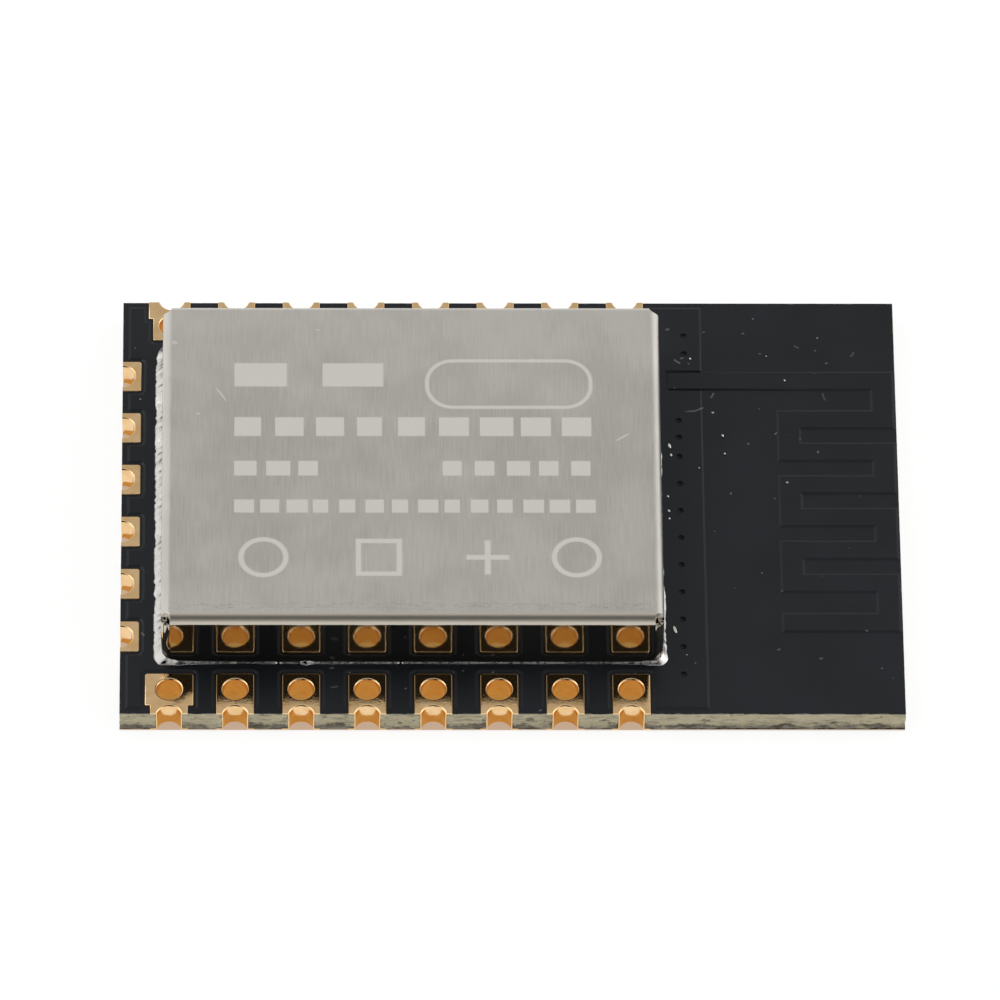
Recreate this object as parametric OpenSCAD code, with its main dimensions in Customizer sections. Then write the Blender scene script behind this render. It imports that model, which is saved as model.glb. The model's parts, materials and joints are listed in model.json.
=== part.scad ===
// Surface-mount wireless module: a castellated circuit board that carries a folded
// metal shield can over its radio parts and has a meander antenna under the mask.
// Millimetres. The origin is the middle of the board's underside: X runs along the
// board to the antenna end, Y to its back edge and Z up.

/* [Board] */
// Thickness of the glass-fibre core
core_t = 0.73; // [0.5:0.01:1.6]
// Thickness of the copper foil on each face
copper_t = 0.035; // [0.018:0.001:0.07]
// Thickness of the solder mask over the copper and over the bare core
mask_t = 0.02; // [0.015:0.005:0.05]
// How far the mask runs down beside a copper edge
mask_side = 0.05; // [0.03:0.01:0.08]
// Bare laminate left between the ground copper and the board's edges
edge_gap = 0.3; // [0.2:0.05:0.4]

/* [Terminals] */
// Spacing of the terminals along every edge
pitch = 2; // [1.8:0.05:2.5]
// Terminals along each long edge
long_count = 8; // [4:1:8]
// Terminals across the left edge
end_count = 6; // [3:1:6]
// From the left edge to the first terminal of a long edge
first_x = 1.5; // [1.4:0.05:2]
// Width of a terminal's pad, along its edge
pad_w = 1.15; // [0.95:0.05:1.4]
// Reach of a long-edge pad inwards from the edge
pad_l = 1.5; // [1.4:0.05:2]
// Reach of a left-edge pad inwards from the edge
end_pad_l = 0.58; // [0.5:0.02:0.7]
// Radius on the inner corners of a pad
pad_r = 0.08; // [0.04:0.01:0.12]
// Radius of the plated holes, after plating
hole_r = 0.375; // [0.3:0.005:0.4]
// From the edge to the middle of a full hole
hole_in = 0.9; // [0.85:0.01:0.95]
// How far outside a long edge its half holes are centred
notch_out = 0.1; // [0:0.01:0.2]
// Thickness of the plating on a hole's wall
plating_t = 0.03; // [0.02:0.005:0.05]
// Width of the square first pad
first_pad_w = 1.47; // [1.4:0.01:1.6]
// Depth of the narrow neck of the first pad
neck_l = 0.3; // [0.2:0.02:0.4]
// Width of the ear on the back corner pad
ear_w = 0.14; // [0.1:0.02:0.2]
// Depth of that ear
ear_l = 0.65; // [0.5:0.05:0.8]
// Least space along the left edge between its last pad and the pads of a long edge
corner_gap = 0.6; // [0.5:0.05:0.8]

/* [Ground copper] */
// Gap between the ground copper and any other copper
copper_gap = 0.2; // [0.15:0.01:0.22]
// From the can, or the last terminal where that reaches further, to the end of the ground copper
ground_l = 1.26; // [1.1:0.02:2]
// Radius of the drilled vias inside their plating
via_r = 0.11; // [0.08:0.01:0.13]
// Thickness of a via's plating
via_plating_t = 0.03; // [0.02:0.005:0.05]
// From where ground_l starts to the long row of vias
via_in = 0.62; // [0.55:0.01:0.7]
// Spacing of the long row of vias
via_pitch = 1.04; // [0.9:0.01:1.08]
// Vias in the long row
via_count = 9; // [5:1:9]
// From the middle of the board back to the last via of the long row
via_row_end = 1.9; // [1.6:0.05:2]
// Depth of the dimple that the mask leaves over a via
dimple_h = 0.06; // [0.04:0.01:0.08]

/* [Antenna] */
// From the end of the ground copper to the meander
antenna_gap = 2.5; // [1.5:0.1:4]
// Width of the antenna trace
trace_w = 0.5; // [0.4:0.02:0.6]
// Length of the meander's arms, along X
arm_l = 3.4; // [3:0.1:6]
// From the right edge to the ends of the arms
arm_in = 0.16; // [0.1:0.02:0.3]
// Arms of the meander
arm_count = 8; // [4:1:8]
// Spacing of the arms
arm_pitch = 1.26; // [1.1:0.02:1.3]
// Spacing of the first pair and of the last pair of arms
outer_arm_pitch = 1.5; // [1.3:0.02:1.55]
// From the middle of the board back to the fed arm
feed_y = 4.85; // [4.6:0.05:5]
// From the can's right wall to the start of the feed line
feed_in = 0.4; // [0.35:0.05:0.6]

/* [Shield can] */
// Length of the can, along X
shield_l = 15.23; // [13.5:0.01:20]
// Width of the can, along Y
shield_w = 12.1; // [10.8:0.05:18]
// Height of the can above the board
shield_h = 2.2; // [1.6:0.05:3]
// Thickness of the sheet
sheet_t = 0.18; // [0.12:0.01:0.24]
// Outer radius of the folds and of the upright corners
fold_r = 0.3; // [0.28:0.01:0.5]
// From the left-edge pads to the solder round the can
left_gap = 0.42; // [0.3:0.01:1]
// From the front pads to the solder round the can
front_gap = 0.3; // [0.2:0.01:1]
// From the back pads to the solder round the can
back_gap = 0.2; // [0.2:0.01:1]
// Radius of the relief punched through each top corner
relief_r = 0.23; // [0.15:0.01:0.26]
// How far the reliefs reach below the top of the can
relief_h = 0.42; // [0.35:0.01:0.6]
// Width of the open seam below each relief
seam_w = 0.04; // [0.03:0.01:0.08]

/* [Solder] */
// Width of the solder band outside the left and the right wall
band_w = 0.25; // [0.2:0.01:0.28]
// Width of the solder band outside the front and the back wall
thin_band_w = 0.1; // [0.08:0.01:0.12]
// Width of the land inside the walls
land_in = 0.3; // [0.25:0.05:0.4]
// Corner radius of the land
land_r = 0.35; // [0.3:0.01:0.45]
// Radius of the solder blobs on the can's front corners
blob_r = 0.42; // [0.35:0.01:0.48]

/* [Parts under the can] */
// Height of the radio chip
chip_h = 0.85; // [0.75:0.05:1]
// Contacts along each side of the chip
lead_count = 8; // [5:1:9]
// Spacing of the chip's contacts
lead_pitch = 0.5; // [0.4:0.05:0.6]
// From the last contact's place on a side to the chip's corner
chip_corner = 0.5; // [0.45:0.01:0.6]
// Width of a contact
lead_w = 0.23; // [0.18:0.01:0.26]
// Length of a contact
lead_l = 0.4; // [0.3:0.02:0.45]
// Gap between the contacts and the thermal pad
thermal_gap = 0.25; // [0.15:0.01:0.6]
// Length of the crystal, along X
crystal_l = 3.2; // [2.5:0.1:3.4]
// Width of the crystal, along Y
crystal_w = 2.5; // [2:0.1:2.8]
// Height of the crystal's ceramic base
crystal_base_h = 0.5; // [0.4:0.02:0.6]
// Height of the crystal's metal lid
crystal_lid_h = 0.2; // [0.15:0.01:0.3]
// Length of a chip capacitor, resistor or inductor
chip_part_l = 1; // [0.8:0.05:1.05]
// Width of such a part
chip_part_w = 0.5; // [0.3:0.05:0.6]
// Height of a capacitor or an inductor
chip_part_h = 0.5; // [0.3:0.05:0.6]
// Height of a resistor
resistor_h = 0.35; // [0.25:0.05:0.5]
// Length of a metal end cap on such a part
end_cap_l = 0.22; // [0.15:0.01:0.28]

/* [Hidden] */
$fn = 48;
terminal_count = 2 * long_count + end_count;

// How far a cutting shape runs past what it cuts
past = 1;
// Heights of the layers, from the underside up
pad_t = copper_t + mask_t;
core_top = pad_t + core_t;
copper_top_z = core_top + copper_t;
board_t = core_top + pad_t;
// The board's length is what the can, the long rows, the ground copper and the antenna take,
// and its width is what the can and the two rows of pads take, or the row on the left edge
shield_from_left = end_pad_l + left_gap + band_w;
rows_l = max(shield_from_left + shield_l, first_x + (long_count - 1) * pitch + pad_w / 2);
board_l = rows_l + ground_l + antenna_gap + arm_l + arm_in;
end_row_w = (end_count - 1) * pitch + pad_w + 2 * (pad_l + corner_gap);
board_w = max(shield_w + 2 * (thin_band_w + pad_l) + front_gap + back_gap, end_row_w);
// Edges of the board and of the can
left_x = -board_l / 2;
right_x = board_l / 2;
front_y = -board_w / 2;
shield_x = left_x + shield_from_left + shield_l / 2;
shield_y = front_y + pad_l + front_gap + thin_band_w + shield_w / 2;
shield_right = shield_x + shield_l / 2;
rows_x = left_x + rows_l;
ground_x = rows_x + ground_l;
// The can's inside corner radius and the middle of each corner relief
inner_fold_r = fold_r - sheet_t;
relief_in = fold_r * (1 - sqrt(1 / 2));
// Antenna: middle heights and ends of the arms
arm_right = right_x - arm_in;
arm_left = arm_right - arm_l;
feed_left = shield_right + feed_in;
// Vias on both sides of the feed line: [x, y, copies, spacing]
via_x = rows_x + via_in;
via_rows = [
    [via_x, via_row_end, via_count, -via_pitch],
    [via_x, via_row_end + 0.75, 2, 0.65],
    [via_x + 0.2, feed_y + 1.05, 2, 0.7]];
// The lands of the small parts, and how far they reach past a part's middle
land_l = 0.57;
land_extra = 0.1;
land_reach = chip_part_l / 2 + land_l / 2 - end_cap_l / 2 + land_extra / 2;
crystal_land = [0.9, 0.8];
// The clear area under the can, inside the copper that carries its land
zone_in = 0.5;
zone_l = shield_l - 2 * (sheet_t + zone_in);
zone_w = shield_w - 2 * (sheet_t + zone_in);
// The chip and its thermal pad
chip_w = lead_count * lead_pitch + 2 * chip_corner;
thermal_w = chip_w - 2 * (lead_l + thermal_gap);
contact_gap = 0.02;
contact_h = 0.2;
// Where the chip, the crystal and the rows of small parts stand in that area
chip_in = 2.2;
crystal_in = 0.6;
chip_at = [shield_x + zone_l / 2 - chip_in - chip_w / 2, shield_y - 0.4];
crystal_at = [shield_x - zone_l / 2 + crystal_in + crystal_l / 2, shield_y + 1.6];
lid_in = 0.2;
row_pitch = 1.5;
row_out = zone_w / 2 - copper_gap - land_reach;
dot_r = 0.2;
dot_h = 0.03;

function terminal_name(i) = str("terminal_", i < 10 ? "0" : "", i);

// Place of terminal i: [x, y, turn that points it inwards]
function terminal_at(i) =
    i <= long_count ? [left_x + first_x + (i - 1) * pitch, front_y, 0] :
    i <= 2 * long_count ? [left_x + first_x + (i - long_count - 1) * pitch, -front_y, 180] :
    [left_x, (i - 2 * long_count - (end_count + 1) / 2) * pitch, -90];

// Height of arm k of the antenna
function arm_y(k) =
    k == 0 ? feed_y :
    feed_y - outer_arm_pitch - (k - 1) * arm_pitch -
        (k == arm_count - 1 ? outer_arm_pitch - arm_pitch : 0);

// Every small part: [kind, x, y, turn]
function part_row(kind, count, x, y, turn) =
    [for (i = [0:count - 1]) [kind, x + (i - (count - 1) / 2) * row_pitch, y, turn]];
small_parts = concat(
    part_row("capacitor", 6, chip_at[0], shield_y + row_out, 90),
    part_row("resistor", 3, chip_at[0] - row_pitch, shield_y - row_out, 90),
    part_row("capacitor", 2, crystal_at[0], crystal_at[1] + crystal_w / 2 + 1.3, 0),
    part_row("inductor", 2, crystal_at[0], crystal_at[1] - crystal_w / 2 - 2, 90));

module at_terminal(i) {
    place = terminal_at(i);
    translate([place[0], place[1]]) rotate(place[2]) children();
}

// ---- flat outlines ----

module rounded_rect(l, w, r) {
    square([l - 2 * r, w], center = true);
    square([l, w - 2 * r], center = true);
    for (x = [-1, 1], y = [-1, 1])
        translate([x * (l / 2 - r), y * (w / 2 - r)]) circle(r);
}

// A pad that starts at the board's edge and has round inner corners, grown all round
module pad_shape(w, from, to, grow = 0) {
    translate([-w / 2 - grow, from - grow])
        square([w + 2 * grow, to - from - pad_r + 2 * grow]);
    translate([-w / 2 + pad_r, from - grow])
        square([w - 2 * pad_r, to - from + 2 * grow]);
    for (x = [-1, 1])
        translate([x * (w / 2 - pad_r), to - pad_r]) circle(pad_r + grow);
}

// Pad of terminal i, in the terminal's own place
module pad_outline(i, grow = 0) {
    intersection() {
        if (i == 1) {
            pad_shape(pad_w, 0, pad_l, grow);
            pad_shape(first_pad_w, neck_l, pad_l, grow);
        } else if (i == long_count + 1) {
            pad_shape(pad_w, 0, pad_l, grow);
            translate([0, -grow]) square([pad_w / 2 + ear_w + grow, ear_l + 2 * grow]);
        } else {
            pad_shape(pad_w, 0, i > 2 * long_count ? end_pad_l : pad_l, grow);
        }
        translate([-pitch, 0]) square([2 * pitch, 2 * pad_l]);
    }
}

// Holes of terminal i at radius r: a half hole on the edge and, on a long edge, a full one
module hole_outline(i, r) {
    on_end = i > 2 * long_count;
    translate([0, on_end ? 0 : -notch_out]) circle(r);
    if (!on_end) translate([0, hole_in]) circle(r);
}

module all_pads(grow = 0) {
    for (i = [1:terminal_count]) at_terminal(i) pad_outline(i, grow);
}

module board_outline() {
    square([board_l, board_w], center = true);
}

module at_vias() {
    for (row = via_rows, i = [0:row[2] - 1])
        translate([row[0], row[1] + i * row[3]]) children();
}

// Outline of the antenna trace, grown all round
module antenna_outline(grow = 0) {
    half = trace_w / 2 + grow;
    for (k = [0:arm_count - 1]) {
        start = k == 0 ? feed_left : arm_left;
        translate([start - grow, arm_y(k) - half]) square([arm_right - start + 2 * grow, 2 * half]);
    }
    for (k = [0:arm_count - 2]) {
        x = k % 2 == 0 ? arm_right - trace_w / 2 : arm_left + trace_w / 2;
        translate([x - half, arm_y(k + 1) - half]) square([2 * half, arm_y(k) - arm_y(k + 1) + 2 * half]);
    }
}

// Outline of the ground copper, grown all round
module ground_outline(grow = 0) {
    copper_l = ground_x - left_x - edge_gap + 2 * grow;
    copper_w = board_w - 2 * edge_gap + 2 * grow;
    difference() {
        translate([left_x + edge_gap - grow, -copper_w / 2]) square([copper_l, copper_w]);
        all_pads(copper_gap - grow);
    }
}

// Clear area under the can, where the chip and the small parts have their own lands
module parts_zone(shrink = 0) {
    translate([shield_x, shield_y]) rounded_rect(zone_l - 2 * shrink, zone_w - 2 * shrink, land_r);
}

module ground_top_outline(grow = 0) {
    slot = trace_w + 2 * (copper_gap - grow);
    difference() {
        ground_outline(grow);
        parts_zone(grow);
        translate([feed_left - copper_gap + grow, feed_y - slot / 2])
            square([board_l, slot]);
    }
}

module land_outline() {
    difference() {
        translate([shield_x, shield_y])
            rounded_rect(shield_l + 2 * band_w, shield_w + 2 * thin_band_w, land_r);
        translate([shield_x, shield_y])
            rounded_rect(shield_l - 2 * (sheet_t + land_in), shield_w - 2 * (sheet_t + land_in),
                         land_r);
    }
}

// ---- small parts ----

module at_parts(kind) {
    for (part = small_parts)
        if (part[0] == kind) translate([part[1], part[2]]) rotate(part[3]) children();
}

module at_chip_sides() {
    translate(chip_at) for (side = [0:3]) rotate(90 * side) children();
}

module part_lands() {
    for (part = small_parts)
        translate([part[1], part[2]]) rotate(part[3]) for (end = [-1, 1])
            translate([end * (land_reach - land_l / 2), 0])
                square([land_l, chip_part_w + land_extra], center = true);
}

module chip_lands() {
    translate(chip_at) square(thermal_w, center = true);
    at_chip_sides() for (i = [0:lead_count - 1])
        translate([(i - (lead_count - 1) / 2) * lead_pitch, chip_w / 2 - lead_l / 2 + land_extra / 2])
            square([lead_w, lead_l + land_extra], center = true);
}

module crystal_lands() {
    translate(crystal_at) for (x = [-1, 1], y = [-1, 1])
        translate([x * (crystal_l - crystal_land[0]) / 2, y * (crystal_w - crystal_land[1]) / 2])
            square(crystal_land, center = true);
}

module lands_outline() {
    part_lands();
    chip_lands();
    crystal_lands();
}

module chip_contacts(grow = 0) {
    at_chip_sides() for (i = [0:lead_count - 1])
        translate([(i - (lead_count - 1) / 2) * lead_pitch - lead_w / 2, chip_w / 2 - lead_l, board_t])
            cube([lead_w, lead_l + grow, contact_h]);
    translate([chip_at[0] - thermal_w / 2, chip_at[1] - thermal_w / 2, board_t])
        cube([thermal_w, thermal_w, contact_h]);
}

module part_bodies(kind, h) {
    at_parts(kind) translate([-chip_part_l / 2 + end_cap_l, -chip_part_w / 2, board_t])
        cube([chip_part_l - 2 * end_cap_l, chip_part_w, h]);
}

module part_end_caps(kind, h) {
    at_parts(kind) for (x = [-chip_part_l / 2, chip_part_l / 2 - end_cap_l])
        translate([x, -chip_part_w / 2, board_t]) cube([end_cap_l, chip_part_w, h]);
}

// ---- the board ----

module woven_glass_core() {
    color([0.72, 0.69, 0.53]) translate([0, 0, pad_t]) linear_extrude(core_t) difference() {
        board_outline();
        for (i = [1:terminal_count]) at_terminal(i) hole_outline(i, hole_r + plating_t);
        at_vias() circle(via_r + via_plating_t);
    }
}

module copper_top() {
    color([0.8, 0.5, 0.3]) translate([0, 0, core_top]) linear_extrude(copper_t) difference() {
        ground_top_outline();
        at_vias() circle(via_r + via_plating_t);
    }
}

module copper_bottom() {
    color([0.8, 0.5, 0.3]) translate([0, 0, mask_t]) linear_extrude(copper_t) difference() {
        ground_outline();
        at_vias() circle(via_r + via_plating_t);
    }
}

module antenna_trace() {
    color([0.8, 0.5, 0.3]) translate([0, 0, core_top]) linear_extrude(copper_t) antenna_outline();
}

module ground_vias() {
    color([0.8, 0.5, 0.3]) translate([0, 0, mask_t]) linear_extrude(board_t - 2 * mask_t)
        at_vias() difference() {
            circle(via_r + via_plating_t);
            circle(via_r);
        }
}

// The mask's plug in the mouth of each via, with its dimple, from z = 0 down
module via_plugs() {
    dimple_r = (via_r * via_r + dimple_h * dimple_h) / (2 * dimple_h);
    at_vias() difference() {
        translate([0, 0, -2 * dimple_h]) cylinder(h = 2 * dimple_h, r = via_r);
        translate([0, 0, dimple_r - dimple_h]) sphere(dimple_r);
    }
}

// The mask on one face, with the core at z = 0: it steps up over the copper
module mask_film() {
    difference() {
        union() {
            linear_extrude(mask_t) board_outline();
            linear_extrude(pad_t) children(1);
        }
        translate([0, 0, -past]) linear_extrude(past + copper_t) children(0);
        translate([0, 0, -past]) linear_extrude(2 * past) {
            all_pads();
            at_vias() circle(via_r);
        }
    }
}

module mask_top() {
    color([0.13, 0.14, 0.15]) {
        translate([0, 0, core_top]) difference() {
            mask_film() {
                union() {
                    ground_top_outline();
                    antenna_outline();
                }
                union() {
                    ground_top_outline(mask_side);
                    antenna_outline(mask_side);
                }
            }
            translate([0, 0, -past]) linear_extrude(2 * past) {
                land_outline();
                lands_outline();
            }
        }
        translate([0, 0, board_t]) via_plugs();
    }
}

module mask_bottom() {
    color([0.13, 0.14, 0.15]) {
        translate([0, 0, pad_t]) mirror([0, 0, 1]) mask_film() {
            ground_outline();
            ground_outline(mask_side);
        }
        mirror([0, 0, 1]) via_plugs();
    }
}

// Terminal i: a pad on each face, joined by the plating of its holes
module terminal(i) {
    color([0.83, 0.68, 0.42]) at_terminal(i) {
        for (z = [0, core_top]) translate([0, 0, z]) linear_extrude(pad_t) difference() {
            pad_outline(i);
            hole_outline(i, hole_r);
        }
        linear_extrude(board_t) difference() {
            intersection() {
                hole_outline(i, hole_r + plating_t);
                pad_outline(i);
            }
            hole_outline(i, hole_r);
        }
    }
}

module component_lands() {
    color([0.83, 0.68, 0.42]) translate([0, 0, core_top]) linear_extrude(pad_t) lands_outline();
}

// ---- the shield ----

// A block with round upright corners and round top edges
module crowned_block(l, w, h, r) {
    cube_l = l - 2 * r;
    cube_w = w - 2 * r;
    translate([-cube_l / 2, -cube_w / 2, 0]) cube([cube_l, cube_w, h]);
    translate([-l / 2, -cube_w / 2, 0]) cube([l, cube_w, h - r]);
    translate([-cube_l / 2, -w / 2, 0]) cube([cube_l, w, h - r]);
    for (x = [-1, 1]) {
        translate([x * cube_l / 2, cube_w / 2, h - r]) rotate([90, 0, 0]) cylinder(h = cube_w, r = r);
        for (y = [-1, 1]) translate([x * cube_l / 2, y * cube_w / 2, 0]) {
            cylinder(h = h - r, r = r);
            translate([0, 0, h - r]) sphere(r);
        }
    }
    for (y = [-1, 1])
        translate([-cube_l / 2, y * cube_w / 2, h - r]) rotate([0, 90, 0]) cylinder(h = cube_l, r = r);
}

module shield_block(inset = 0, r = fold_r) {
    translate([shield_x, shield_y, board_t])
        crowned_block(shield_l - 2 * inset, shield_w - 2 * inset, shield_h - inset, r);
}

module at_shield_corners() {
    for (x = [-1, 1], y = [-1, 1])
        translate([shield_x + x * (shield_l / 2 - relief_in), shield_y + y * (shield_w / 2 - relief_in),
                   board_t]) rotate(45 * x * y) children();
}

// A sheet folded down on four sides: round reliefs at the top corners, open seams below them
module shield_can() {
    color([0.66, 0.65, 0.62]) difference() {
        shield_block();
        shield_block(sheet_t, inner_fold_r);
        at_shield_corners() {
            translate([0, 0, shield_h - relief_h]) cylinder(h = relief_h + past, r = relief_r);
            translate([-fold_r, -seam_w / 2, -past]) cube([2 * fold_r, seam_w, past + shield_h - relief_h]);
        }
    }
}

module shield_land() {
    color([0.8, 0.79, 0.77]) translate([0, 0, copper_top_z]) linear_extrude(mask_t) land_outline();
}

// A concave bead of solder with equal legs along +X
module solder_bead(length, leg) {
    rotate([90, 0, 90]) linear_extrude(length, center = true) difference() {
        square(leg);
        translate([leg, leg]) circle(leg);
    }
}

module shield_solder() {
    color([0.8, 0.79, 0.77]) difference() {
        intersection() {
            union() {
                for (side = [-1, 1]) {
                    translate([shield_x + side * shield_l / 2, shield_y, board_t]) rotate(-90 * side)
                        solder_bead(shield_w - 2 * fold_r, band_w);
                    translate([shield_x, shield_y + side * shield_w / 2, board_t])
                        rotate(side < 0 ? 180 : 0) solder_bead(shield_l - 2 * fold_r, thin_band_w);
                    for (y = [-1, 1]) translate([shield_x + side * (shield_l / 2 - fold_r / 2),
                        shield_y + y * (shield_w / 2 - fold_r / 2), board_t]) sphere(blob_r);
                }
            }
            translate([shield_x, shield_y, board_t]) linear_extrude(shield_h)
                rounded_rect(shield_l + 2 * band_w, shield_w + 2 * thin_band_w, land_r);
        }
        shield_block();
    }
}

// ---- under the can ----

module radio_chip_body() {
    color([0.12, 0.12, 0.13]) difference() {
        translate([chip_at[0] - chip_w / 2, chip_at[1] - chip_w / 2, board_t + contact_gap])
            cube([chip_w, chip_w, chip_h - contact_gap]);
        chip_contacts(past);
        translate([chip_at[0] - chip_w / 2 + 3 * dot_r, chip_at[1] - chip_w / 2 + 3 * dot_r,
                   board_t + chip_h - dot_h]) cylinder(h = past, r = dot_r);
    }
}

module radio_chip_contacts() {
    color([0.8, 0.79, 0.77]) chip_contacts();
}

module crystal_base() {
    color([0.55, 0.5, 0.42]) translate([crystal_at[0], crystal_at[1], board_t])
        linear_extrude(crystal_base_h) square([crystal_l, crystal_w], center = true);
}

module crystal_lid() {
    color([0.8, 0.76, 0.6]) translate([crystal_at[0], crystal_at[1], board_t + crystal_base_h])
        linear_extrude(crystal_lid_h) rounded_rect(crystal_l - 2 * lid_in, crystal_w - 2 * lid_in, lid_in);
}

module capacitor_bodies() {
    color([0.62, 0.5, 0.36]) part_bodies("capacitor", chip_part_h);
}

module capacitor_end_caps() {
    color([0.8, 0.79, 0.77]) part_end_caps("capacitor", chip_part_h);
}

module resistor_bodies() {
    color([0.15, 0.15, 0.16]) part_bodies("resistor", resistor_h);
}

module resistor_end_caps() {
    color([0.8, 0.79, 0.77]) part_end_caps("resistor", resistor_h);
}

module inductor_bodies() {
    color([0.75, 0.77, 0.78]) part_bodies("inductor", chip_part_h);
}

module inductor_end_caps() {
    color([0.8, 0.79, 0.77]) part_end_caps("inductor", chip_part_h);
}

woven_glass_core();
copper_top();
copper_bottom();
antenna_trace();
ground_vias();
mask_top();
mask_bottom();
component_lands();
shield_land();
shield_solder();
shield_can();
radio_chip_body();
radio_chip_contacts();
crystal_base();
crystal_lid();
capacitor_bodies();
capacitor_end_caps();
resistor_bodies();
resistor_end_caps();
inductor_bodies();
inductor_end_caps();
for (i = [1:terminal_count])
    terminal(i);
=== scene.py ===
"""Looks of a castellated wireless module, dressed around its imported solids."""
import json
import logging
import math
from dataclasses import dataclass, field
from enum import Enum
from functools import reduce
from typing import Callable, Iterable, Sequence

import bmesh
import bpy
from mathutils import Matrix, Quaternion, Vector, noise
from mathutils.geometry import delaunay_2d_cdt


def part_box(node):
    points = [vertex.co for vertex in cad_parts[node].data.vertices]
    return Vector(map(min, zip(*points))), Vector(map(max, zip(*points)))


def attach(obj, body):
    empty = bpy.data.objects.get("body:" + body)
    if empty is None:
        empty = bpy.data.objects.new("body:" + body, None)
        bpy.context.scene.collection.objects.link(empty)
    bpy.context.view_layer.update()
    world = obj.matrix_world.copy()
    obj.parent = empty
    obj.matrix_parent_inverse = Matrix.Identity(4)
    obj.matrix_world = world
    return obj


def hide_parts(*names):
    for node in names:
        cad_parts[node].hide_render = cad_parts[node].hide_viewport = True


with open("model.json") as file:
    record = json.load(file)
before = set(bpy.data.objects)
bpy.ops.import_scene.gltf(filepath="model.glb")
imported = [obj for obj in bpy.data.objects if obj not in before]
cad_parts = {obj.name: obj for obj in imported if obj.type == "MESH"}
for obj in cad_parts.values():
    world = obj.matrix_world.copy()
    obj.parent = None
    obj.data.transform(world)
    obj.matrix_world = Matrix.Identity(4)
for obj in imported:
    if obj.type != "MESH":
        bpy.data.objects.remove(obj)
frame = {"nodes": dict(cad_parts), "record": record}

logging.basicConfig(level=logging.INFO, format="%(levelname)s %(name)s: %(message)s")
LOG = logging.getLogger("wireless_module")

MM = 0.001
Point = tuple[float, float]
Point3 = tuple[float, float, float]
Colour = tuple[float, float, float]


def node_box(name: str) -> tuple[Vector, Vector]:
    """Lowest and highest corner of a solid, in millimetres.

    Args:
        name: The solid's node.

    Returns:
        Two corners in the shared frame.
    """
    low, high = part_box(name)
    return low / MM, high / MM


def smooth(x: float) -> float:
    """The cubic step from 0 to 1 for x clipped to that range."""
    x = min(max(x, 0.0), 1.0)
    return x * x * (3 - 2 * x)


def toned(colour: Colour, factor: float) -> Colour:
    """A colour made darker or lighter by a factor, up to white."""
    return tuple(min(c * factor, 1.0) for c in colour)


def tinted(colour: Colour, tint: Colour) -> Colour:
    """A colour with each part multiplied by its part of a tint."""
    return tuple(c * t for c, t in zip(colour, tint))


# ---------------------------------------------------------------- shader maths


class Value:
    """A number socket whose operators add Math nodes."""

    def __init__(self, net: "Net", socket: bpy.types.NodeSocket) -> None:
        """Wraps one output socket of a network."""
        self.net = net
        self.socket = socket

    def _math(self, operation: str, *others: "Value | float", clamp: bool = False) -> "Value":
        """Adds one Math node with this value as its first input."""
        return self.net.node("ShaderNodeMath", {"operation": operation, "use_clamp": clamp},
                             {i: v for i, v in enumerate((self, *others))})

    def __add__(self, other: "Value | float") -> "Value":
        """Sum."""
        return self._math("ADD", other)

    __radd__ = __add__

    def __mul__(self, other: "Value | float") -> "Value":
        """Product."""
        return self._math("MULTIPLY", other)

    __rmul__ = __mul__

    def __sub__(self, other: "Value | float") -> "Value":
        """Difference."""
        return self._math("SUBTRACT", other)

    def __rsub__(self, other: float) -> "Value":
        """Difference from a plain number."""
        return self.net.node("ShaderNodeMath", {"operation": "SUBTRACT"}, {0: other, 1: self})

    def __truediv__(self, other: "Value | float") -> "Value":
        """Quotient."""
        return self._math("DIVIDE", other)

    def __neg__(self) -> "Value":
        """The value with its sign turned."""
        return self._math("MULTIPLY", -1.0)

    def __abs__(self) -> "Value":
        """Size without sign."""
        return self._math("ABSOLUTE")

    def floor(self) -> "Value":
        """Whole part, rounded down."""
        return self._math("FLOOR")

    def wrap(self, period: float) -> "Value":
        """The value carried into the range from 0 to a period."""
        return self._math("WRAP", period, 0.0)

    def at_least(self, other: "Value | float") -> "Value":
        """The larger of two values."""
        return self._math("MAXIMUM", other)

    def at_most(self, other: "Value | float") -> "Value":
        """The smaller of two values."""
        return self._math("MINIMUM", other)

    def above(self, edge: "Value | float") -> "Value":
        """1 where the value is over an edge and 0 elsewhere."""
        return self._math("GREATER_THAN", edge)

    def power(self, exponent: float) -> "Value":
        """The value raised to a power."""
        return self._math("POWER", exponent)

    def ramp(self, start: float, end: float, low: float = 0.0, high: float = 1.0) -> "Value":
        """A smooth step of the value between two edges.

        Args:
            start: Where the result is low.
            end: Where the result is high.
            low: Result at and before start.
            high: Result at and after end.

        Returns:
            The stepped value.
        """
        return self.net.node("ShaderNodeMapRange", {"interpolation_type": "SMOOTHSTEP"},
                             {"Value": self, "From Min": start, "From Max": end,
                              "To Min": low, "To Max": high})


def largest(values: Iterable[Value]) -> Value:
    """The largest of several values at each place."""
    return reduce(Value.at_least, values)


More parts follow.
